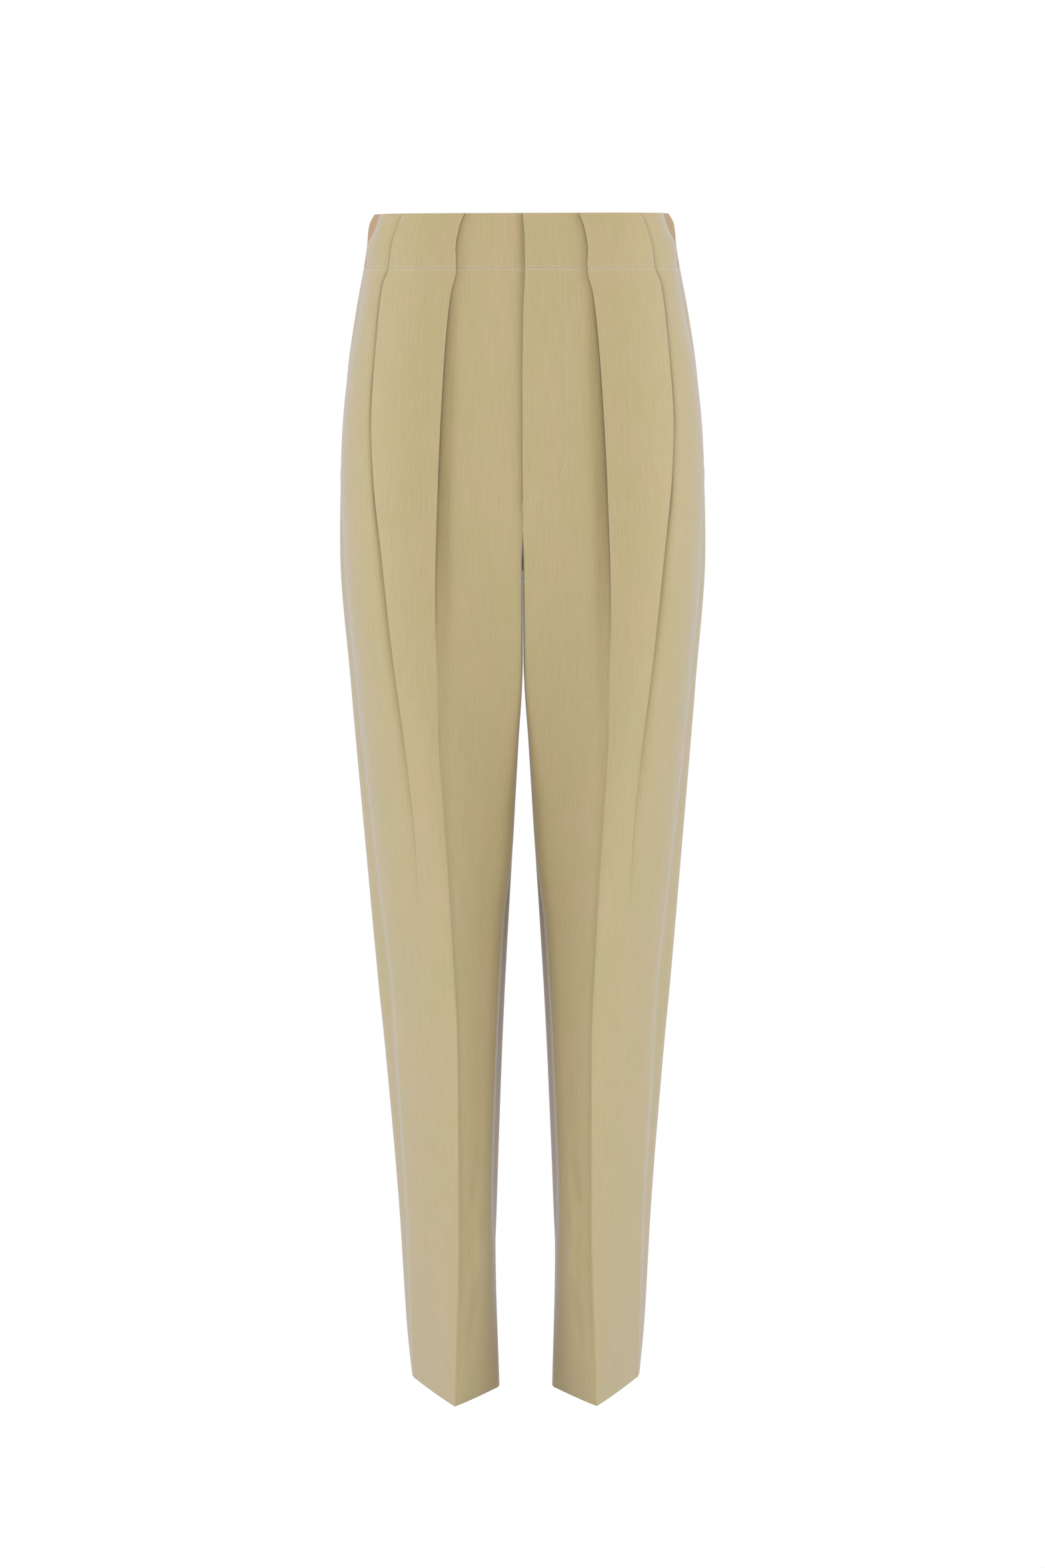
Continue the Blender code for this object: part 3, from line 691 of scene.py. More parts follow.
def halved(arriving, leaving):
    """The mitred outward normal of the corner between two directions."""
    arriving = arriving / np.linalg.norm(arriving)
    leaving = leaving / np.linalg.norm(leaving)
    middle = (arriving + leaving) / np.linalg.norm(arriving + leaving)
    return np.array([middle[1], -middle[0]]) / (middle @ leaving)


def girth(line, zero):
    """How far each point of a line lies along it from the point whose index is zero."""
    step = np.linalg.norm(np.diff(line, axis=0), axis=1)
    along = np.concatenate([[0], np.cumsum(step)])
    return along - along[zero]


def rings_between(top, end, fork):
    """Depths of a panel's rings: even steps, and close ones where the crotch seam turns under."""
    depths = np.arange(top, end, RING_STEP)
    if top < fork < end:
        swing = np.sin(np.linspace(0, math.pi / 2, CROTCH_RINGS))
        under = fork + (CROTCH_DROP - fork) * swing
        depths = depths[(depths < fork - RING_STEP / 3) | (depths > CROTCH_DROP + RING_STEP / 3)]
        depths = np.sort(np.concatenate([depths, under]))
    return np.append(depths[depths < end - RING_STEP / 3], end)


def girth_alone(ring, line, along):
    """Threads that keep their distance from the pressed crease."""
    return along


def front_grain(ring, line, along):
    """Above the fork the fly side's threads keep their distance from the centre instead."""
    if ring.below >= FRONT_FORK:
        return along
    fly = np.arange(len(along)) < INNER_FOLD
    return np.where(fly, along - along[WALL_STEPS] + line[WALL_STEPS, 0] + FLY_GIRTH, along)


def bump_at(along, below, spots):
    """Sum of soft troughs and ridges on a panel.

    Each is a straight run from one point to another, as lengths across and down the panel.
    It is height high in its middle, dies away over width to each side as a bell does, and
    fades to nothing at both ends as half a sine wave.
    """
    total = np.zeros_like(along)
    for across_a, down_a, across_b, down_b, width, height in np.array(spots) * MM:
        run = np.array([across_b - across_a, down_b - down_a])
        long = np.linalg.norm(run)
        unit = run / long
        du, dv = along - across_a, below - down_a
        share = np.clip((du * unit[0] + dv * unit[1]) / long, 0, 1)
        off = (du - share * run[0]) * unit[1] - (dv - share * run[1]) * unit[0]
        total += height * np.sin(math.pi * share) ** 1.5 * np.exp(-((off / width) ** 2))
    return total


def level(line, below, sign):
    """A line in plan as points of a level ring, mirrored by the sign."""
    return np.column_stack([sign * line[:, 0], line[:, 1], np.full(len(line), -below)])


def panel_faces(depths, line_of, fork, met_of, spots, edges, shade, sign, grain=girth_alone):
    """Outer and inner faces of a panel, its cloth coordinates and its painted shade and highlights, row by ring."""
    outer, inner, cloth, painted_lights = [], [], [], []
    for depth in depths:
        ring = Ring(depth)
        line, zero = below_fork(line_of, ring, fork)
        normal, mitre = normals(line)
        along = girth(line, zero)
        relief = bump_at(along, np.full_like(along, depth), spots) + edges(ring, line, along)
        line = line + relief[:, None] * normal
        before, after = met_of(ring)
        reach = (CLOTH / 2 * mitre)[:, None] * normal
        if before is not None:
            reach[0] = halved(before, line[1] - line[0]) * CLOTH / 2
        if after is not None:
            reach[-1] = halved(line[-1] - line[-2], after) * CLOTH / 2
        outer.append(level(line + reach, depth, sign))
        inner.append(level(line - reach, depth, sign))
        across = grain(ring, line, along)
        cloth.append(np.column_stack([sign * across, np.full(len(along), -depth)]))
        painted_lights.append(shade(ring, line, along))
    return np.array(outer), np.array(inner), np.array(cloth), np.array(painted_lights)


SHARP = math.radians(48)
SAME_POINT = 1e-9


def closed_cloth(name, outer, inner, cloth, shade, flip):
    """One closed wall of two faces and the rim between them, with its cloth coordinates and its painted shade and
    highlights.
    """
    rows, columns = outer.shape[:2]
    total = rows * columns
    moved = np.linalg.norm(np.diff(outer, axis=1, prepend=outer[:, :1] - 1), axis=2) > SAME_POINT
    first = np.where(moved, np.arange(columns), 0)
    index = np.maximum.accumulate(first, axis=1) + columns * np.arange(rows)[:, None]
    quads = np.stack([index[:-1, :-1], index[1:, :-1], index[1:, 1:], index[:-1, 1:]], -1)
    quads = quads.reshape(-1, 4)[:, ::-1 if flip else 1]
    sides = np.concatenate([quads[:, [k, (k + 1) % 4]] for k in range(4)])
    sides = sides[sides[:, 0] != sides[:, 1]]
    key = sides[:, 0] * total + sides[:, 1]
    reverse = sides[:, 1] * total + sides[:, 0]
    rim = sides[~np.isin(reverse, key)]
    rim = np.concatenate([rim[:, ::-1], rim + total], axis=1)
    faces = np.concatenate([quads, quads[:, ::-1] + total, rim])
    same = faces == np.roll(faces, 1, axis=1)
    whole = faces[same.sum(1) == 0]
    cut = same.sum(1) == 1
    turned = (same[cut].argmax(1)[:, None] + np.arange(3)) % 4
    triangles = np.take_along_axis(faces[cut], turned, axis=1)
    mesh = bpy.data.meshes.new(name)
    both = np.concatenate([outer.reshape(-1, 3), inner.reshape(-1, 3)])
    mesh.from_pydata(both.tolist(), [], whole.tolist() + triangles.tolist())
    spot = np.concatenate([cloth.reshape(-1, 2), cloth.reshape(-1, 2)])
    corners = np.zeros(len(mesh.loops), np.int32)
    mesh.loops.foreach_get("vertex_index", corners)
    layer = mesh.uv_layers.new(name="cloth")
    layer.data.foreach_set("uv", spot[corners].astype(np.float32).ravel())
    # The painted shade (above 0) and painted highlights (below 0) go to the material as a point attribute.
    painted_light_mask = mesh.attributes.new("shade", "FLOAT", "POINT")
    painted_light_mask.data.foreach_set("value", np.tile(shade.ravel(), 2).astype(np.float32))
    built = bmesh.new()
    built.from_mesh(mesh)
    bmesh.ops.delete(built, geom=[v for v in built.verts if not v.link_faces], context="VERTS")
    built.to_mesh(mesh)
    built.free()
    mesh.shade_smooth()
    mesh.set_sharp_from_angle(angle=SHARP)
    return placed(name, mesh)


CORDS = 1400.0
WARP, WEFT, STREAK, FLUFF, PATCH = (1100, 34), (40, 900), (480, 14), (520, 520), (19, 11)
CORD_HEIGHT, WARP_HEIGHT, WEFT_HEIGHT, FLUFF_HEIGHT = 0.22, 0.9, 0.45, 0.35
WARP_TONE, STREAK_TONE, WEFT_TONE = 0.65, 0.20, 0.25


def weave_group():
    """Node group: a fine twill with slubs. It reads cloth coordinates in metres.

    Height is the twill's diagonal cords, the yarn's own unevenness along both threads and
    a soft fluff. Tone is light and dark yarns, and Patch a slow change over the cloth.
    """
    group = bpy.data.node_groups.new("wool_twill", "ShaderNodeTree")
    group.interface.new_socket("Cloth", in_out="INPUT", socket_type="NodeSocketVector")
    pitch = group.interface.new_socket("Cords per metre", in_out="INPUT",
                                       socket_type="NodeSocketFloat")
    pitch.default_value = CORDS
    for name in ("Height", "Tone", "Patch"):
        group.interface.new_socket(name, in_out="OUTPUT", socket_type="NodeSocketFloat")
    nodes, links = group.nodes, group.links
    into, out = nodes.new("NodeGroupInput"), nodes.new("NodeGroupOutput")

    def noise(per_metre, detail, rough=0.55):
        """Noise over the cloth, with so many waves a metre across and down."""
        mapping = nodes.new("ShaderNodeMapping")
        mapping.inputs["Scale"].default_value = (*per_metre, 1)
        texture = nodes.new("ShaderNodeTexNoise")
        texture.inputs["Scale"].default_value = 1.0
        texture.inputs["Detail"].default_value = detail
        texture.inputs["Roughness"].default_value = rough
        links.new(into.outputs["Cloth"], mapping.inputs["Vector"])
        links.new(mapping.outputs["Vector"], texture.inputs["Vector"])
        return texture.outputs["Fac"]

    def maths(kind, a, b):
        """One step of arithmetic on sockets or numbers."""
        node = nodes.new("ShaderNodeMath")
        node.operation = kind
        for value, socket in zip((a, b), node.inputs):
            if isinstance(value, (int, float)):
                socket.default_value = value
            else:
                links.new(value, socket)
        return node.outputs[0]

    split = nodes.new("ShaderNodeSeparateXYZ")
    links.new(into.outputs["Cloth"], split.inputs[0])
    diagonal = maths("ADD", split.outputs["X"], split.outputs["Y"])
    turns = maths("MULTIPLY", into.outputs["Cords per metre"], math.tau)
    cord = maths("SINE", maths("MULTIPLY", diagonal, turns), 0)
    warp, weft, streak, fluff = noise(WARP, 3), noise(WEFT, 3), noise(STREAK, 2), noise(FLUFF, 2)
    height = maths("ADD", maths("MULTIPLY", cord, CORD_HEIGHT),
                   maths("MULTIPLY", warp, WARP_HEIGHT))
    height = maths("ADD", height, maths("MULTIPLY", weft, WEFT_HEIGHT))
    height = maths("ADD", height, maths("MULTIPLY", fluff, FLUFF_HEIGHT))
    links.new(height, out.inputs["Height"])
    tone = maths("ADD", maths("MULTIPLY", warp, WARP_TONE), maths("MULTIPLY", streak, STREAK_TONE))
    across = maths("MULTIPLY", maths("SUBTRACT", weft, 0.5), WEFT_TONE)
    tone = maths("ADD", tone, across)
    links.new(tone, out.inputs["Tone"])
    links.new(noise(PATCH, 3, 0.6), out.inputs["Patch"])
    return group


WOOL_TWILL = weave_group()


ROUGH = 0.62
PATCH_RANGE = (0.30, 0.70)
TONE_RANGE = (0.29, 1.20)
# Colours that the painted shade and the pale lilac painted highlight draw the yarn towards.
PAINTED_SHADE_COLOUR = (0.13, 0.095, 0.035)
PAINTED_HIGHLIGHT_COLOUR = (0.84, 0.83, 0.92)


def node_material(name):
    """A new material with its nodes, its links and its Principled shader."""
    material = bpy.data.materials.new(name)
    material.use_nodes = True
    tree = material.node_tree
    return material, tree.nodes, tree.links, tree.nodes["Principled BSDF"]


def wool(name, olive, tan, light, sheen=1.0):
    """Fine worsted twill: olive and tan yarns in slow patches, light slubs, a soft lustre, painted shade and
    highlights.
    """
    material, nodes, links, surface = node_material(name)
    uv = nodes.new("ShaderNodeUVMap")
    uv.uv_map = "cloth"
    weave = nodes.new("ShaderNodeGroup")
    weave.node_tree = WOOL_TWILL
    weave.inputs["Cords per metre"].default_value = CORDS
    links.new(uv.outputs["UV"], weave.inputs["Cloth"])

    def blend(factor, a, b, low, high):
        """A colour between two, as a factor runs from low to high."""
        spread = nodes.new("ShaderNodeMapRange")
        spread.inputs["From Min"].default_value = low
        spread.inputs["From Max"].default_value = high
        links.new(factor, spread.inputs["Value"])
        mix = nodes.new("ShaderNodeMix")
        mix.data_type = "RGBA"
        links.new(spread.outputs["Result"], mix.inputs["Factor"])
        for value, socket in ((a, mix.inputs["A"]), (b, mix.inputs["B"])):
            if isinstance(value, tuple):
                socket.default_value = (*value, 1)
            else:
                links.new(value, socket)
        return mix.outputs["Result"]

    patch = blend(weave.outputs["Patch"], olive, tan, *PATCH_RANGE)
    yarn = blend(weave.outputs["Tone"], patch, light, *TONE_RANGE)
    # The mesh's attribute paints shade into the yarn's colour, towards a dark olive in the hollows, and paints a pale
    # lilac highlight along the seams.
    painted_light_mask = nodes.new("ShaderNodeAttribute")
    painted_light_mask.attribute_name = "shade"
    with_painted_shade = blend(painted_light_mask.outputs["Fac"], yarn, PAINTED_SHADE_COLOUR, 0.0, 1.0)
    with_painted_highlight = blend(painted_light_mask.outputs["Fac"], PAINTED_HIGHLIGHT_COLOUR, with_painted_shade, -1.0, 0.0)
    links.new(with_painted_highlight, surface.inputs["Base Color"])
    dulled = nodes.new("ShaderNodeMapRange")
    dulled.inputs["To Min"].default_value = ROUGH - 0.06
    dulled.inputs["To Max"].default_value = ROUGH + 0.06
    links.new(weave.outputs["Tone"], dulled.inputs["Value"])
    links.new(dulled.outputs["Result"], surface.inputs["Roughness"])
    bump = nodes.new("ShaderNodeBump")
    bump.inputs["Strength"].default_value = 0.35
    bump.inputs["Distance"].default_value = 0.0002
    links.new(weave.outputs["Height"], bump.inputs["Height"])
    links.new(bump.outputs["Normal"], surface.inputs["Normal"])
    surface.inputs["Specular IOR Level"].default_value = 0.35
    surface.inputs["Sheen Weight"].default_value = sheen
    surface.inputs["Sheen Roughness"].default_value = 0.34
    surface.inputs["Sheen Tint"].default_value = (0.91, 0.87, 1.0, 1)
    return material


FLY_EDGE = table(
    "below edge_x",
    (0, 0.9),
    (20, 2.3),
    (47, 2.8),
    (78, 1.2),
    (112, 0.5),
    (150, 0.0),
    (235, 0.0),
    (1073, 0.0),
)
# How far the pleats stand open: the dip of the lower panel at each fold, and its width.
OPEN = table(
    "below inner_dip inner_reach outer_dip outer_reach",
    (0, 0.8, 9, 1.2, 9),
    (47, 1.4, 12, 2.2, 10),
    (90, 4.0, 24, 4.0, 13),
    (200, 5.0, 28, 5.0, 16),
    (330, 3.6, 24, 5.0, 18),
    (450, 1.8, 12, 3.4, 16),
    (560, 1.2, 7, 1.4, 14),
    (760, 0.9, 6, 0.2, 12),
    (1073, 0.3, 6, 0.0, 12),
)
# How deep the painted shade lies, from 0 to 1: beside each fold, under the edge of the fly and over
# the panel inside the crease. The highlight is how strong the painted highlight is beside the side seam.
PAINTED_LIGHT_TABLE = table(
    "below inner outer fly panel rub",
    (0, 0.75, 0.10, 0.30, 0.0, 0.0),
    (6, 0.80, 0.35, 0.35, 0.0, 0.0),
    (40, 0.80, 0.50, 0.35, 0.0, 0.0),
    (47, 0.45, 0.60, 0.30, 0.0, 0.0),
    (60, 0.60, 0.75, 0.30, 0.0, 0.05),
    (120, 0.70, 0.80, 0.35, 0.0, 0.10),
    (250, 0.70, 0.80, 0.35, 0.02, 0.17),
    (330, 0.60, 0.70, 0.30, 0.05, 0.19),
    (420, 0.45, 0.45, 0.0, 0.09, 0.18),
    (520, 0.35, 0.25, 0.0, 0.13, 0.15),
    (640, 0.40, 0.0, 0.0, 0.15, 0.13),
    (900, 0.30, 0.0, 0.0, 0.15, 0.11),
    (1073, 0.10, 0.0, 0.0, 0.06, 0.08),
)
# How far the painted shade reaches out from the folds and from the edge of the fly.
PAINTED_SHADE_REACH = 1.5 * MM
PAINTED_LAP_SHADOW_REACH = 3.0 * MM
# Place, width and strength of the painted highlights: a line on the side seam's ridge, a broad band beside it, and a
# thin one at the waist seam.
SEAM_HIGHLIGHT = {"away": 3.0 * MM, "width": 1.7 * MM, "line": 0.65, "broad": 9.0 * MM,
       "band": 0.45, "waist": 0.10}
# Soft forms of the fronts: from and to, as millimetres across from the crease (towards the
# side is positive) and down from the waist, then half width and height.
FRONT_FORMS = {
    "left": (
        (-30, 60, -26, 250, 11, -1.1),
        (-52, 90, -48, 230, 9, 0.8),
        (-14, 120, -12, 420, 8, -1.0),
        (-40, 300, -34, 640, 12, 0.9),
        (-22, 430, -20, 760, 9, -1.1),
        (22, 60, 24, 300, 14, 0.9),
        (34, 320, 26, 640, 12, -1.0),
        (48, 480, 38, 860, 11, 1.0),
        (16, 560, 14, 900, 9, -0.6),
        (-24, 836, -9, 930, 6.5, -2.6),
        (-12, 848, -28, 1010, 7, 2.7),
        (-30, 930, -12, 1044, 7, -1.9),
        (24, 900, 20, 1060, 12, 0.7),
    ),
    "right": (
        (-28, 62, -27, 240, 10, -0.9),
        (-50, 100, -44, 250, 10, 0.7),
        (-15, 130, -13, 400, 8, -1.1),
        (-42, 320, -33, 620, 12, 1.0),
        (-24, 450, -19, 740, 10, -1.0),
        (24, 70, 22, 290, 13, 0.8),
        (32, 340, 28, 660, 11, -1.1),
        (46, 500, 40, 850, 11, 0.9),
        (18, 580, 14, 880, 9, -0.7),
        (-24, 846, -7, 936, 6.5, -2.6),
        (-9, 846, -30, 1006, 7, 2.8),
        (-28, 940, -10, 1048, 7, -2.1),
        (22, 920, 19, 1055, 12, 0.8),
    ),
}


def seam_dent(distance, width, depth):
    """How far cloth is drawn in near a seam: most at the seam, nothing past its width."""
    return -depth * ease(1 - np.abs(distance) / width)


PUCKER = {"long": 9.0 * MM, "short": 5.3 * MM, "height": 0.13 * MM, "fade": 5.0 * MM}
WAIST_DENT = (3.0 * MM, 0.3 * MM)


def waist_relief(along, below, seed):
    """Relief beside the waist seam: a dent, and gathers of two sine waves that fade from it."""
    wave = np.sin(along * math.tau / PUCKER["long"] + seed)
    wave = wave + 0.7 * np.sin(along * math.tau / PUCKER["short"] + 2.1 * seed)
    gathers = PUCKER["height"] * wave * math.exp(-abs(below - WAIST_SEAM) / PUCKER["fade"])
    return gathers + seam_dent(below - WAIST_SEAM, *WAIST_DENT)


# Width and depth of a seam's dent, then height, place and width of the ridge beside it.
SIDE_SEAM = (2.6 * MM, 0.55 * MM, 0.5 * MM, 5.0 * MM, 2.4 * MM)
INNER_SEAM = (2.4 * MM, 0.5 * MM, 0.35 * MM, 4.6 * MM, 2.2 * MM)
CENTRE_SEAM = (2.4 * MM, 0.5 * MM, 0.3 * MM, 4.6 * MM, 2.2 * MM)


def seam_relief(distance, width, depth, height, away, spread):
    """Relief of a seam: its dent, and the bell-shaped ridge over the turnings inside."""
    ridge = height * np.exp(-(((distance - away) / spread) ** 2))
    return seam_dent(distance, width, depth) + ridge


def from_end(line):
    """How far each point of a line lies along it from its last point."""
    return girth(line[::-1], 0)[::-1]


def front_edges(ring, line, along):
    """Relief of a front along its seams: waist, side and inseam."""
    relief = waist_relief(along, ring.below, 0.4)
    if not MOUTH_TOP < ring.below < MOUTH_END:
        relief = relief + seam_relief(from_end(line), *SIDE_SEAM)
    if ring.below > CROTCH_DROP:
        relief = relief + seam_relief(along - along[0], *INNER_SEAM)
    return relief


def painted_seam_highlight(distance, below):
    """Painted highlight beside a side seam: a fine line on its ridge in a broad soft band.

    The waist seam has a thin painted highlight too.
    """
    line = np.exp(-(((distance - SEAM_HIGHLIGHT["away"]) / SEAM_HIGHLIGHT["width"]) ** 2))
    broad = np.exp(-((distance / SEAM_HIGHLIGHT["broad"]) ** 2))
    waist = SEAM_HIGHLIGHT["waist"] * math.exp(-abs(below - WAIST_SEAM) / MM)
    return -read(PAINTED_LIGHT_TABLE, "rub", below) * (SEAM_HIGHLIGHT["line"] * line + SEAM_HIGHLIGHT["band"] * broad) - waist


def front_painted_light(lapping):
    """Painted shade of a front below its folds, under the fly's edge and inside the crease, and painted highlights
    along its seams.
    """
    def shade(ring, line, along):
        """Painted shade above 0 in the hollows, and painted highlight below 0 along the seams."""
        x, below, index = line[:, 0], ring.below, np.arange(len(line))
        away = np.maximum(x[CREASE_INDEX] - x, 0)
        value = read(PAINTED_LIGHT_TABLE, "inner", below) * np.exp(-away / PAINTED_SHADE_REACH) * (
            index < CREASE_INDEX - BEND_STEPS)
        away = np.maximum(x - x[OUTER_FOLD:OUTER_FOLD + FOLD_POINTS].max(), 0)
        value += read(PAINTED_LIGHT_TABLE, "outer", below) * np.exp(-away / PAINTED_SHADE_REACH) * (
            index > OUTER_FOLD + BEND_STEPS)
        if not lapping:
            away = np.maximum(x, 0)
            value += read(PAINTED_LIGHT_TABLE, "fly", below) * np.exp(-away / PAINTED_LAP_SHADOW_REACH) * (
                index < INNER_FOLD)
        share = (x - x[WALL_STEPS]) / (x[CREASE_INDEX] - x[WALL_STEPS])
        panel = read(PAINTED_LIGHT_TABLE, "panel", below) * ease(2 * share) * (index < CREASE_INDEX)
        return value + panel + painted_seam_highlight(from_end(line), below)
    return shade


def front_met(ring):
    """Directions of the back panel at both edges of the front one."""
    haunch, _, _, wall = back_stretches(ring)
    before = wall[-1] - wall[-2] if ring.below >= CROTCH_DROP else None
    return before, haunch[1] - haunch[0]


FRONT_CLOTH = wool("front_wool", (0.530, 0.450, 0.214), (0.580, 0.446, 0.240), (0.69, 0.60, 0.41))
FRONT_CUT = {"flat": (0.37, 1.026), "area": 0.245}
front_depths = rings_between(WAIST_SEAM + SEAM / 2, LENGTH, FRONT_FORK)
FLY_GIRTH = girth(*front_line(Ring(FRONT_FORK), True))[WALL_STEPS]
fronts = {}
for side, sign in (("left", 1), ("right", -1)):
    lapping = side == "left"
    faces = panel_faces(front_depths, lambda ring: front_line(ring, lapping), FRONT_FORK,
                        front_met, FRONT_FORMS[side], front_edges, front_painted_light(lapping), sign,
                        front_grain)
    piece = closed_cloth(f"{side}_front", *faces, flip=sign < 0)
    piece.data.materials.append(FRONT_CLOTH)
    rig.replaces(piece, f"front_{side}")
    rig.ride(piece, "root")
    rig.slot(piece, "cloth")
    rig.sheet(piece, flat=FRONT_CUT["flat"], held="hung", area=FRONT_CUT["area"])
    fronts[side] = piece

# ------------------------------------------------------------------------- Back panels
# Two backs of the same cloth, joined down the centre back and round under the crotch, and
# to the fronts at side seam and inseam. Each has a pressed crease below the seat and one
# dart from the waist, which shapes it over the seat.
SEAT_SIDE_STEPS = 14
SEAT_STEPS = 60
SEAT_CENTRE_STEPS = 38
DART = {"across": -6.0 * MM, "end": 128.0 * MM, "fade": 25.0 * MM, "depth": 0.9 * MM,
        "width": 3.2 * MM}
BACK_FORMS = {
    "left": (
        (30, 250, 12, 420, 13, -1.8),
        (46, 262, 34, 350, 9, 1.2),
        (52, 300, 20, 560, 12, 1.0),
        (-30, 300, -22, 600, 14, -1.1),
        (-14, 470, -12, 800, 10, -1.0),
        (20, 560, 16, 900, 11, 0.9),
        (-28, 700, -20, 980, 12, 0.9),
        (14, 840, 30, 960, 8, -1.4),
        (26, 900, 12, 1040, 8, 1.2),
    ),
    "right": (
        (28, 246, 14, 400, 12, -1.7),
        (48, 268, 32, 356, 9, 1.3),
        (50, 320, 22, 580, 12, 0.9),
        (-32, 290, -24, 620, 14, -1.0),
        (-12, 500, -14, 780, 10, -1.1),
        (18, 590, 18, 880, 11, 0.8),
        (-26, 720, -22, 960, 12, 1.0),
        (12, 850, 28, 970, 8, -1.3),
        (28, 890, 14, 1050, 8, 1.1),
    ),
}


def back_line(ring):
    """The middle of the wall of a back at one ring, side to centre, and the crease's index."""
    haunch, outer, face, wall = back_stretches(ring)
    first = Path(haunch, outer[:1])
    first = first.at(even(SEAM / 2, first.length[-1], SEAT_SIDE_STEPS))
    seat, centre = Path(outer), Path(face)
    parts = [first, seat.at(even(0, seat.length[-1], SEAT_STEPS)),
             centre.at(even(0, centre.length[-1], SEAT_CENTRE_STEPS))]
    zero = SEAT_SIDE_STEPS + SEAT_STEPS
    if wall is None:
        parts.append(np.repeat(face[-1:], WALL_STEPS + 1, axis=0))
    else:
        inner = Path(wall)
        parts.append(inner.at(np.linspace(0, inner.length[-1], WALL_STEPS + 1)))
    return np.concatenate(parts), zero


def back_edges(ring, line, along):
    """Relief of a back along its seams, and its dart."""
    relief = waist_relief(along, ring.below, 1.3)
    if not MOUTH_TOP < ring.below < MOUTH_END:
        relief = relief + seam_relief(along - along[0], *SIDE_SEAM)
    relief = relief + seam_relief(along[-1] - along, *CENTRE_SEAM)
    dart_left = ease((DART["end"] - ring.below) / DART["fade"])
    return relief + dart_left * seam_dent(along - DART["across"], DART["width"], DART["depth"])


def back_painted_highlight(ring, line, along):
    """Painted highlight of a back along its side seam and at its waist seam."""
    return painted_seam_highlight(along - along[0], ring.below)


def back_met(ring):
    """Directions of the front panel at both edges of the back one."""
    wall, _, outer = front_stretches(ring, SEAM / 2)
    after = wall[1] - wall[0] if ring.below >= CROTCH_DROP else None
    return outer[-1] - outer[-2], after


BACK_CUT = {"flat": (0.353, 1.026), "area": 0.271}
back_depths = rings_between(WAIST_SEAM + SEAM / 2, LENGTH, BACK_FORK)
for side, sign in (("left", 1), ("right", -1)):
    faces = panel_faces(back_depths, back_line, BACK_FORK, back_met, BACK_FORMS[side], back_edges,
                        back_painted_highlight, sign)
    piece = closed_cloth(f"{side}_back", *faces, flip=sign < 0)
    piece.data.materials.append(FRONT_CLOTH)
    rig.replaces(piece, f"back_{side}")
    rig.ride(piece, "root")
    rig.slot(piece, "cloth")
    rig.sheet(piece, flat=BACK_CUT["flat"], held="hung", area=BACK_CUT["area"])

# --------------------------------------------------------------------------- Waistband
# A deep band in four pieces, cut with the same pleats as the fronts, which stand up into
# it. Its top edge is folded over, and it is closed at the fly out of sight.
BAND_EDGE_ROLL = 2.0 * MM
BAND_EDGE_DROP = 0.35 * MM


def band_edges(ring, line, along):
    """Relief of the band: drawn in at its seam, and rolled over at the top edge."""
    rolled = seam_dent(ring.below, BAND_EDGE_ROLL, BAND_EDGE_DROP)
    return waist_relief(along, ring.below, 2.2) + rolled


BAND_FORMS = ((-22, 6, -20, 42, 9, -0.5), (20, 4, 22, 44, 12, 0.4))
# The back band pieces take a darker, browner copy of the wool with less sheen. This is painted shade for the band's
# ends, which lie in shadow where they show beyond the fronts.
BAND_BACK_SHADED_CLOTH = wool("band_back_wool", (0.50, 0.33, 0.16), (0.53, 0.34, 0.18),
                       (0.62, 0.45, 0.29), sheen=0.4)
BAND_CUT = {"front": {"flat": (0.24, 0.047)}, "back": {"flat": (0.223, 0.047)}}
bands = {}
BAND_EDGE_DEPTH = 3.0 * MM
BAND_EDGE_RINGS = 6
BAND_RINGS = 24
band_depths = np.concatenate([even(0, BAND_EDGE_DEPTH, BAND_EDGE_RINGS),
                              np.linspace(BAND_EDGE_DEPTH, WAIST_SEAM - SEAM / 2, BAND_RINGS)])
for side, sign in (("left", 1), ("right", -1)):
    lapping = side == "left"
    for half_name, line_of, met_of, cloth, shade, grain in (
        ("front", lambda ring: front_line(ring, lapping), front_met, FRONT_CLOTH,
         front_painted_light(lapping), front_grain),
        ("back", back_line, back_met, BAND_BACK_SHADED_CLOTH, back_painted_highlight, girth_alone),
    ):
        faces = panel_faces(band_depths, line_of, FRONT_FORK, met_of, BAND_FORMS, band_edges,
                            shade, sign, grain)
        piece = closed_cloth(f"{side}_band_{half_name}", *faces, flip=sign < 0)
        piece.data.materials.append(cloth)
        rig.replaces(piece, f"waistband_{half_name}_{side}")
        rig.ride(piece, "root")
        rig.slot(piece, "waistband")
        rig.sheet(piece, held="hung", **BAND_CUT[half_name])
        bands[side, half_name] = piece

# ------------------------------------------------------- Fly shield and pocket facings
# Strips of the same cloth behind the fly and behind the pocket mouths. They keep their
# solids' form and get the cloth, laid on by their own coordinates.
for node, width, long in (("fly_shield", 0.045, 0.178), ("pocket_facing_left", 0.073, 0.160),
                          ("pocket_facing_right", 0.073, 0.160)):
    strip = frame["nodes"][node]
    layer = strip.data.uv_layers.new(name="cloth")
    points = np.zeros(len(strip.data.vertices) * 3, np.float32)
    strip.data.vertices.foreach_get("co", points)
    points = points.reshape(-1, 3)
    corners = np.zeros(len(strip.data.loops), np.int32)
    strip.data.loops.foreach_get("vertex_index", corners)
    across = points[:, 0] + points[:, 1]
    layer.data.foreach_set("uv", np.column_stack([across, points[:, 2]])[corners].ravel())
    strip.data.materials.clear()
    strip.data.materials.append(FRONT_CLOTH)
    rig.sheet(strip, flat=(width, long), held="hung")

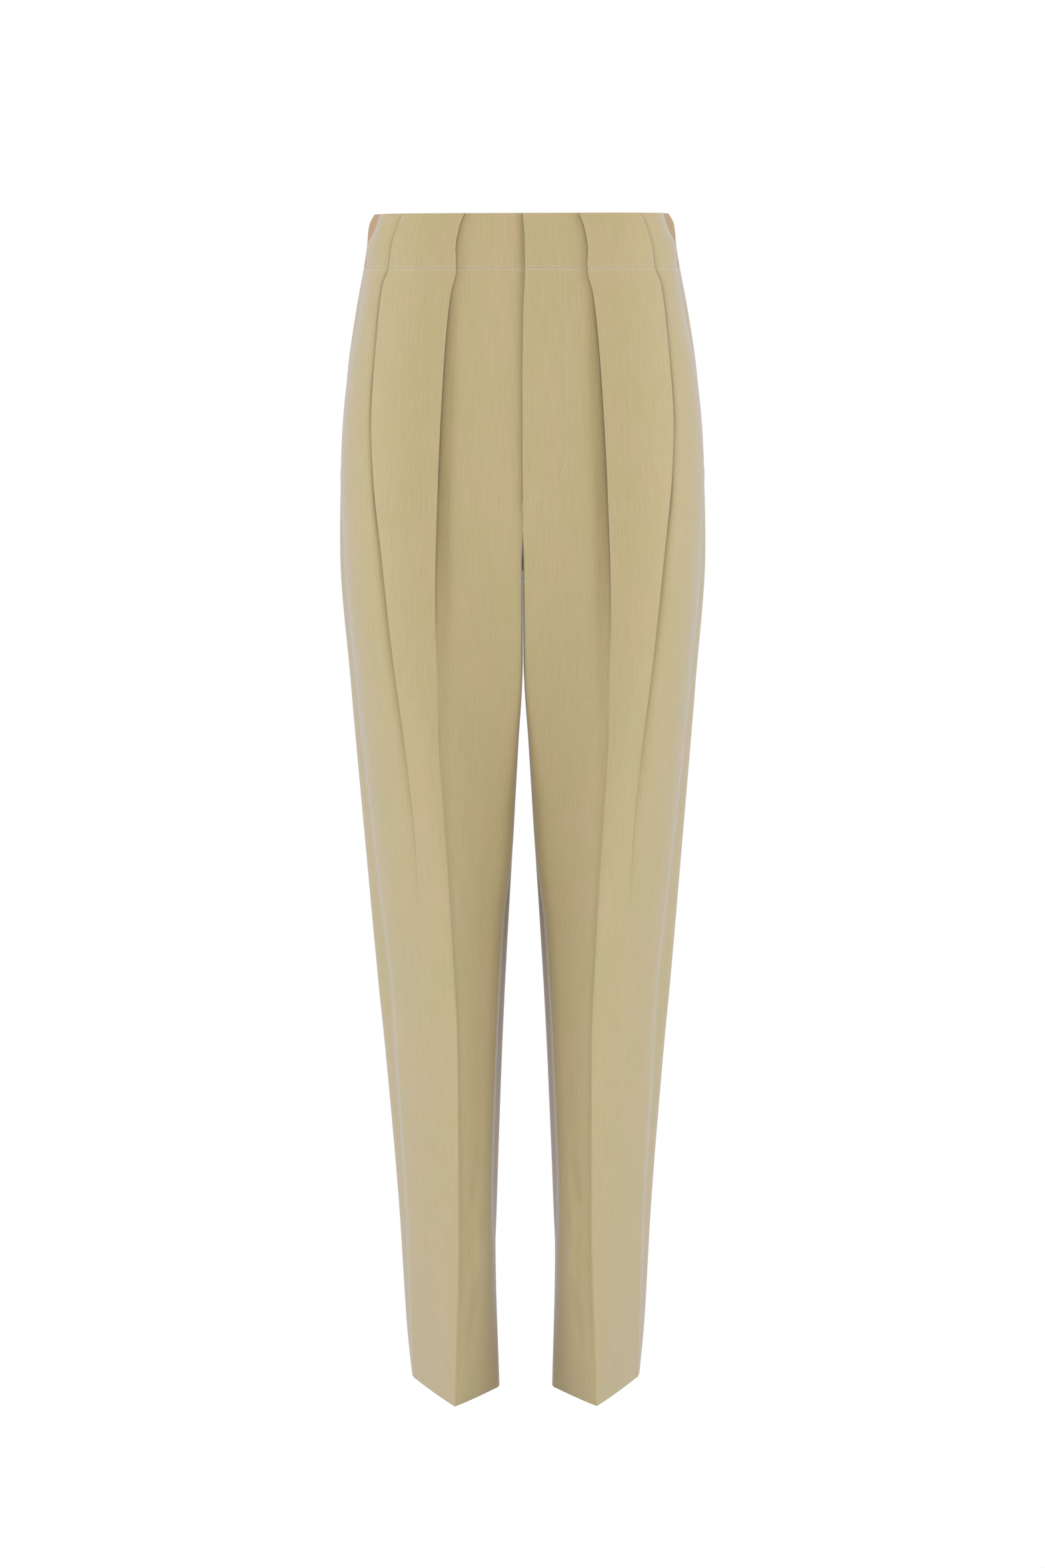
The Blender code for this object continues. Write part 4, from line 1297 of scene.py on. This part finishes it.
# ------------------------------------------------------------------------------ Stitches
# A light thread holds the fly facing in a single curved row of small stitches. Bar tacks
# close the ends of the pocket mouths and the outer pleats in the band, and a fine row runs
# along the waist seam. Each kind of stitch has its pitch, length and thickness.
FLY_STITCH = (2.0 * MM, 1.35 * MM, 0.55 * MM)
PLEAT_STITCH = (1.6 * MM, 2.0 * MM, 0.85 * MM)
WAIST_STITCH = (3.1 * MM, 1.7 * MM, 0.3 * MM)
POCKET_STITCH = (1.2 * MM, 1.6 * MM, 0.6 * MM)
THREAD_LIFT = 0.1 * MM
AHEAD = 0.3 * MM
THREAD_SIDES = 6
FLY_ROW = ((37.0, 49), (38.2, 70), (38.4, 130), (38.6, 200), (37.8, 214), (33.4, 228),
           (25.2, 239), (13.6, 246), (3.2, 250))
PLEAT_TACKS = (((102.6, 3), (105.6, 9)), ((113.9, 40.5), (115.2, 47.5)))
WAIST_ROW = ((3, 46.7), (137, 46.7))
POCKET_TACK = ((141.5, 82.5), (146.5, 82.5))


def row_of(points, pitch):
    """Places and directions of stitches along a line of (x, below) points, in metres."""
    line = np.array(points, float) * MM
    step = np.linalg.norm(np.diff(line, axis=0), axis=1)
    along = np.concatenate([[0], np.cumsum(step)])
    at = np.arange(pitch / 2, along[-1], pitch)
    place = np.column_stack([np.interp(at, along, line[:, k]) for k in (0, 1)])
    ahead = np.column_stack([np.interp(at + AHEAD, along, line[:, k]) for k in (0, 1)])
    return place, (ahead - place) / np.linalg.norm(ahead - place, axis=1, keepdims=True)


def thread_ovals(name, places, ways, outs, long, thick):
    """Ovals of thread: a round profile carried along each stitch, thick in its middle."""
    around = even(0, math.tau, THREAD_SIDES)[:, None]
    stations = np.linspace(-1, 1, 6)[:, None]
    swell = np.sqrt(np.clip(1 - (stations * 0.97) ** 2, 0, 1))
    places, ways, outs = (np.array(v, float)[:, None] for v in (places, ways, outs))
    ring = np.cos(around) * np.cross(ways, outs) + np.sin(around) * outs
    centre = places + stations * long / 2 * ways
    points = centre[:, :, None] + thick / 2 * swell[:, None] * ring[:, None]
    count, rows, columns = points.shape[:3]
    index = np.arange(count * rows * columns).reshape(count, rows, columns)
    ahead = np.roll(index, -1, axis=2)
    quads = np.stack([index[:, :-1], index[:, 1:], ahead[:, 1:], ahead[:, :-1]], -1).reshape(-1, 4)
    caps = np.concatenate([index[:, 0], index[:, -1, ::-1]])
    mesh = bpy.data.meshes.new(name)
    mesh.from_pydata(points.reshape(-1, 3).tolist(), [], quads.tolist() + caps.tolist())
    built = bmesh.new()
    built.from_mesh(mesh)
    bmesh.ops.recalc_face_normals(built, faces=built.faces)
    built.to_mesh(mesh)
    built.free()
    mesh.shade_smooth()
    return placed(name, mesh)


TWIST = 900.0


def thread(name, colour):
    """Polyester sewing thread: twisted, a little glossy."""
    material, nodes, links, surface = node_material(name)
    place = nodes.new("ShaderNodeTexCoord")
    twist = nodes.new("ShaderNodeTexWave")
    twist.inputs["Scale"].default_value = TWIST
    twist.inputs["Distortion"].default_value = 1.5
    links.new(place.outputs["Object"], twist.inputs["Vector"])
    tint = nodes.new("ShaderNodeMix")
    tint.data_type = "RGBA"
    tint.inputs["A"].default_value = (*(0.82 * c for c in colour), 1)
    tint.inputs["B"].default_value = (*colour, 1)
    links.new(twist.outputs["Fac"], tint.inputs["Factor"])
    links.new(tint.outputs["Result"], surface.inputs["Base Color"])
    bump = nodes.new("ShaderNodeBump")
    bump.inputs["Strength"].default_value = 0.4
    bump.inputs["Distance"].default_value = 0.0001
    links.new(twist.outputs["Fac"], bump.inputs["Height"])
    links.new(bump.outputs["Normal"], surface.inputs["Normal"])
    surface.inputs["Roughness"].default_value = 0.45
    return material


SEWING_THREAD = thread("sewing_thread", (0.84, 0.78, 0.62))


IN_FRONT = -0.5


def on_cloth(piece, places, ways, lift):
    """Places and directions seen from the front, laid on a piece's surface."""
    tree = BVHTree.FromObject(piece, bpy.context.evaluated_depsgraph_get())
    found = [], [], []
    for (x, below), (dx, dz) in zip(places, ways):
        hit, normal, _, _ = tree.ray_cast((x, IN_FRONT, -below), (0, 1, 0))
        if hit is None:
            continue
        normal = np.array(normal) * (-1 if normal.y > 0 else 1)
        way = np.array([dx, 0, -dz])
        way = way - normal * (way @ normal)
        spot = np.array(hit) + lift * normal
        for group, value in zip(found, (spot, way / np.linalg.norm(way), normal)):
            group.append(value)
    return found


def sew(name, piece, lines, stitch):
    """Rows of one kind of stitch on a piece, along lines of (x, below) points."""
    pitch, long, thick = stitch
    rows = [row_of(line, pitch) for line in lines]
    places, ways = (np.concatenate(part) for part in zip(*rows))
    row = thread_ovals(name, *on_cloth(piece, places, ways, THREAD_LIFT), long, thick)
    row.data.materials.append(SEWING_THREAD)
    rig.ride(row, "root")
    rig.slot(row, "cloth")


sew("fly_stitches", fronts["left"], [FLY_ROW], FLY_STITCH)
for side, sign in (("left", 1), ("right", -1)):
    for name, piece, lines, stitch in (
        ("pleat_tacks", bands[side, "front"], PLEAT_TACKS, PLEAT_STITCH),
        ("waist_stitches", bands[side, "front"], [WAIST_ROW], WAIST_STITCH),
        ("pocket_tack", fronts[side], [POCKET_TACK], POCKET_STITCH),
    ):
        sew(f"{side}_{name}", piece, np.array(lines) * (sign, 1), stitch)

# ------------------------------------------------------------------------------- Hems
# Each leg ends in a turning of the same cloth, folded up 40 mm inside and caught to the
# panels by hand, so no stitch shows outside.
HEM_DEPTH = 40.0 * MM
HEM_WALL = 0.5 * MM
HEM_INSIDE = CLOTH / 2 + HEM_WALL / 2 + 0.15 * MM
HEM_CUT = (0.36, 0.04)
HEM_RINGS = 16
HEM_EDGE = 0.3 * MM
HEM_SKIP = 3


def hem_faces(sign):
    """Outer and inner faces of a leg's turning: the whole ring, moved in behind the panels."""
    outer, inner, cloth = [], [], []
    for depth in np.linspace(LENGTH - HEM_DEPTH, LENGTH - HEM_EDGE, HEM_RINGS):
        ring = Ring(depth)
        front_part, zero = front_line(ring, True)
        line = np.concatenate([front_part[:-1], back_line(ring)[0]])[::HEM_SKIP]
        closed = np.concatenate([line[-1:], line, line[:1]])
        normal, mitre = (part[1:-1] for part in normals(closed))
        along = girth(line, 0)
        for face, rows in ((HEM_INSIDE - HEM_WALL / 2, outer), (HEM_INSIDE + HEM_WALL / 2, inner)):
            points = line - (face * mitre)[:, None] * normal
            points = np.concatenate([points, points[:1]])
            rows.append(level(points, depth, sign))
        along = np.append(along, along[-1] + np.linalg.norm(line[0] - line[-1]))
        cloth.append(np.column_stack([sign * along, np.full(len(along), -depth)]))
    return np.array(outer), np.array(inner), np.array(cloth), np.zeros((len(cloth), len(along)))


for side, sign in (("left", 1), ("right", -1)):
    piece = closed_cloth(f"{side}_hem_turning", *hem_faces(sign), flip=sign < 0)
    piece.data.materials.append(FRONT_CLOTH)
    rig.ride(piece, "root")
    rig.slot(piece, "cloth")
    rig.sheet(piece, flat=HEM_CUT, held="hung")

# ------------------------------------------------------------------------------- Finish
with open("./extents.json", "w") as sizes:
    json.dump([[list(map(float, corner)) for corner in box] for box in (cad_box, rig.bounds())], sizes)
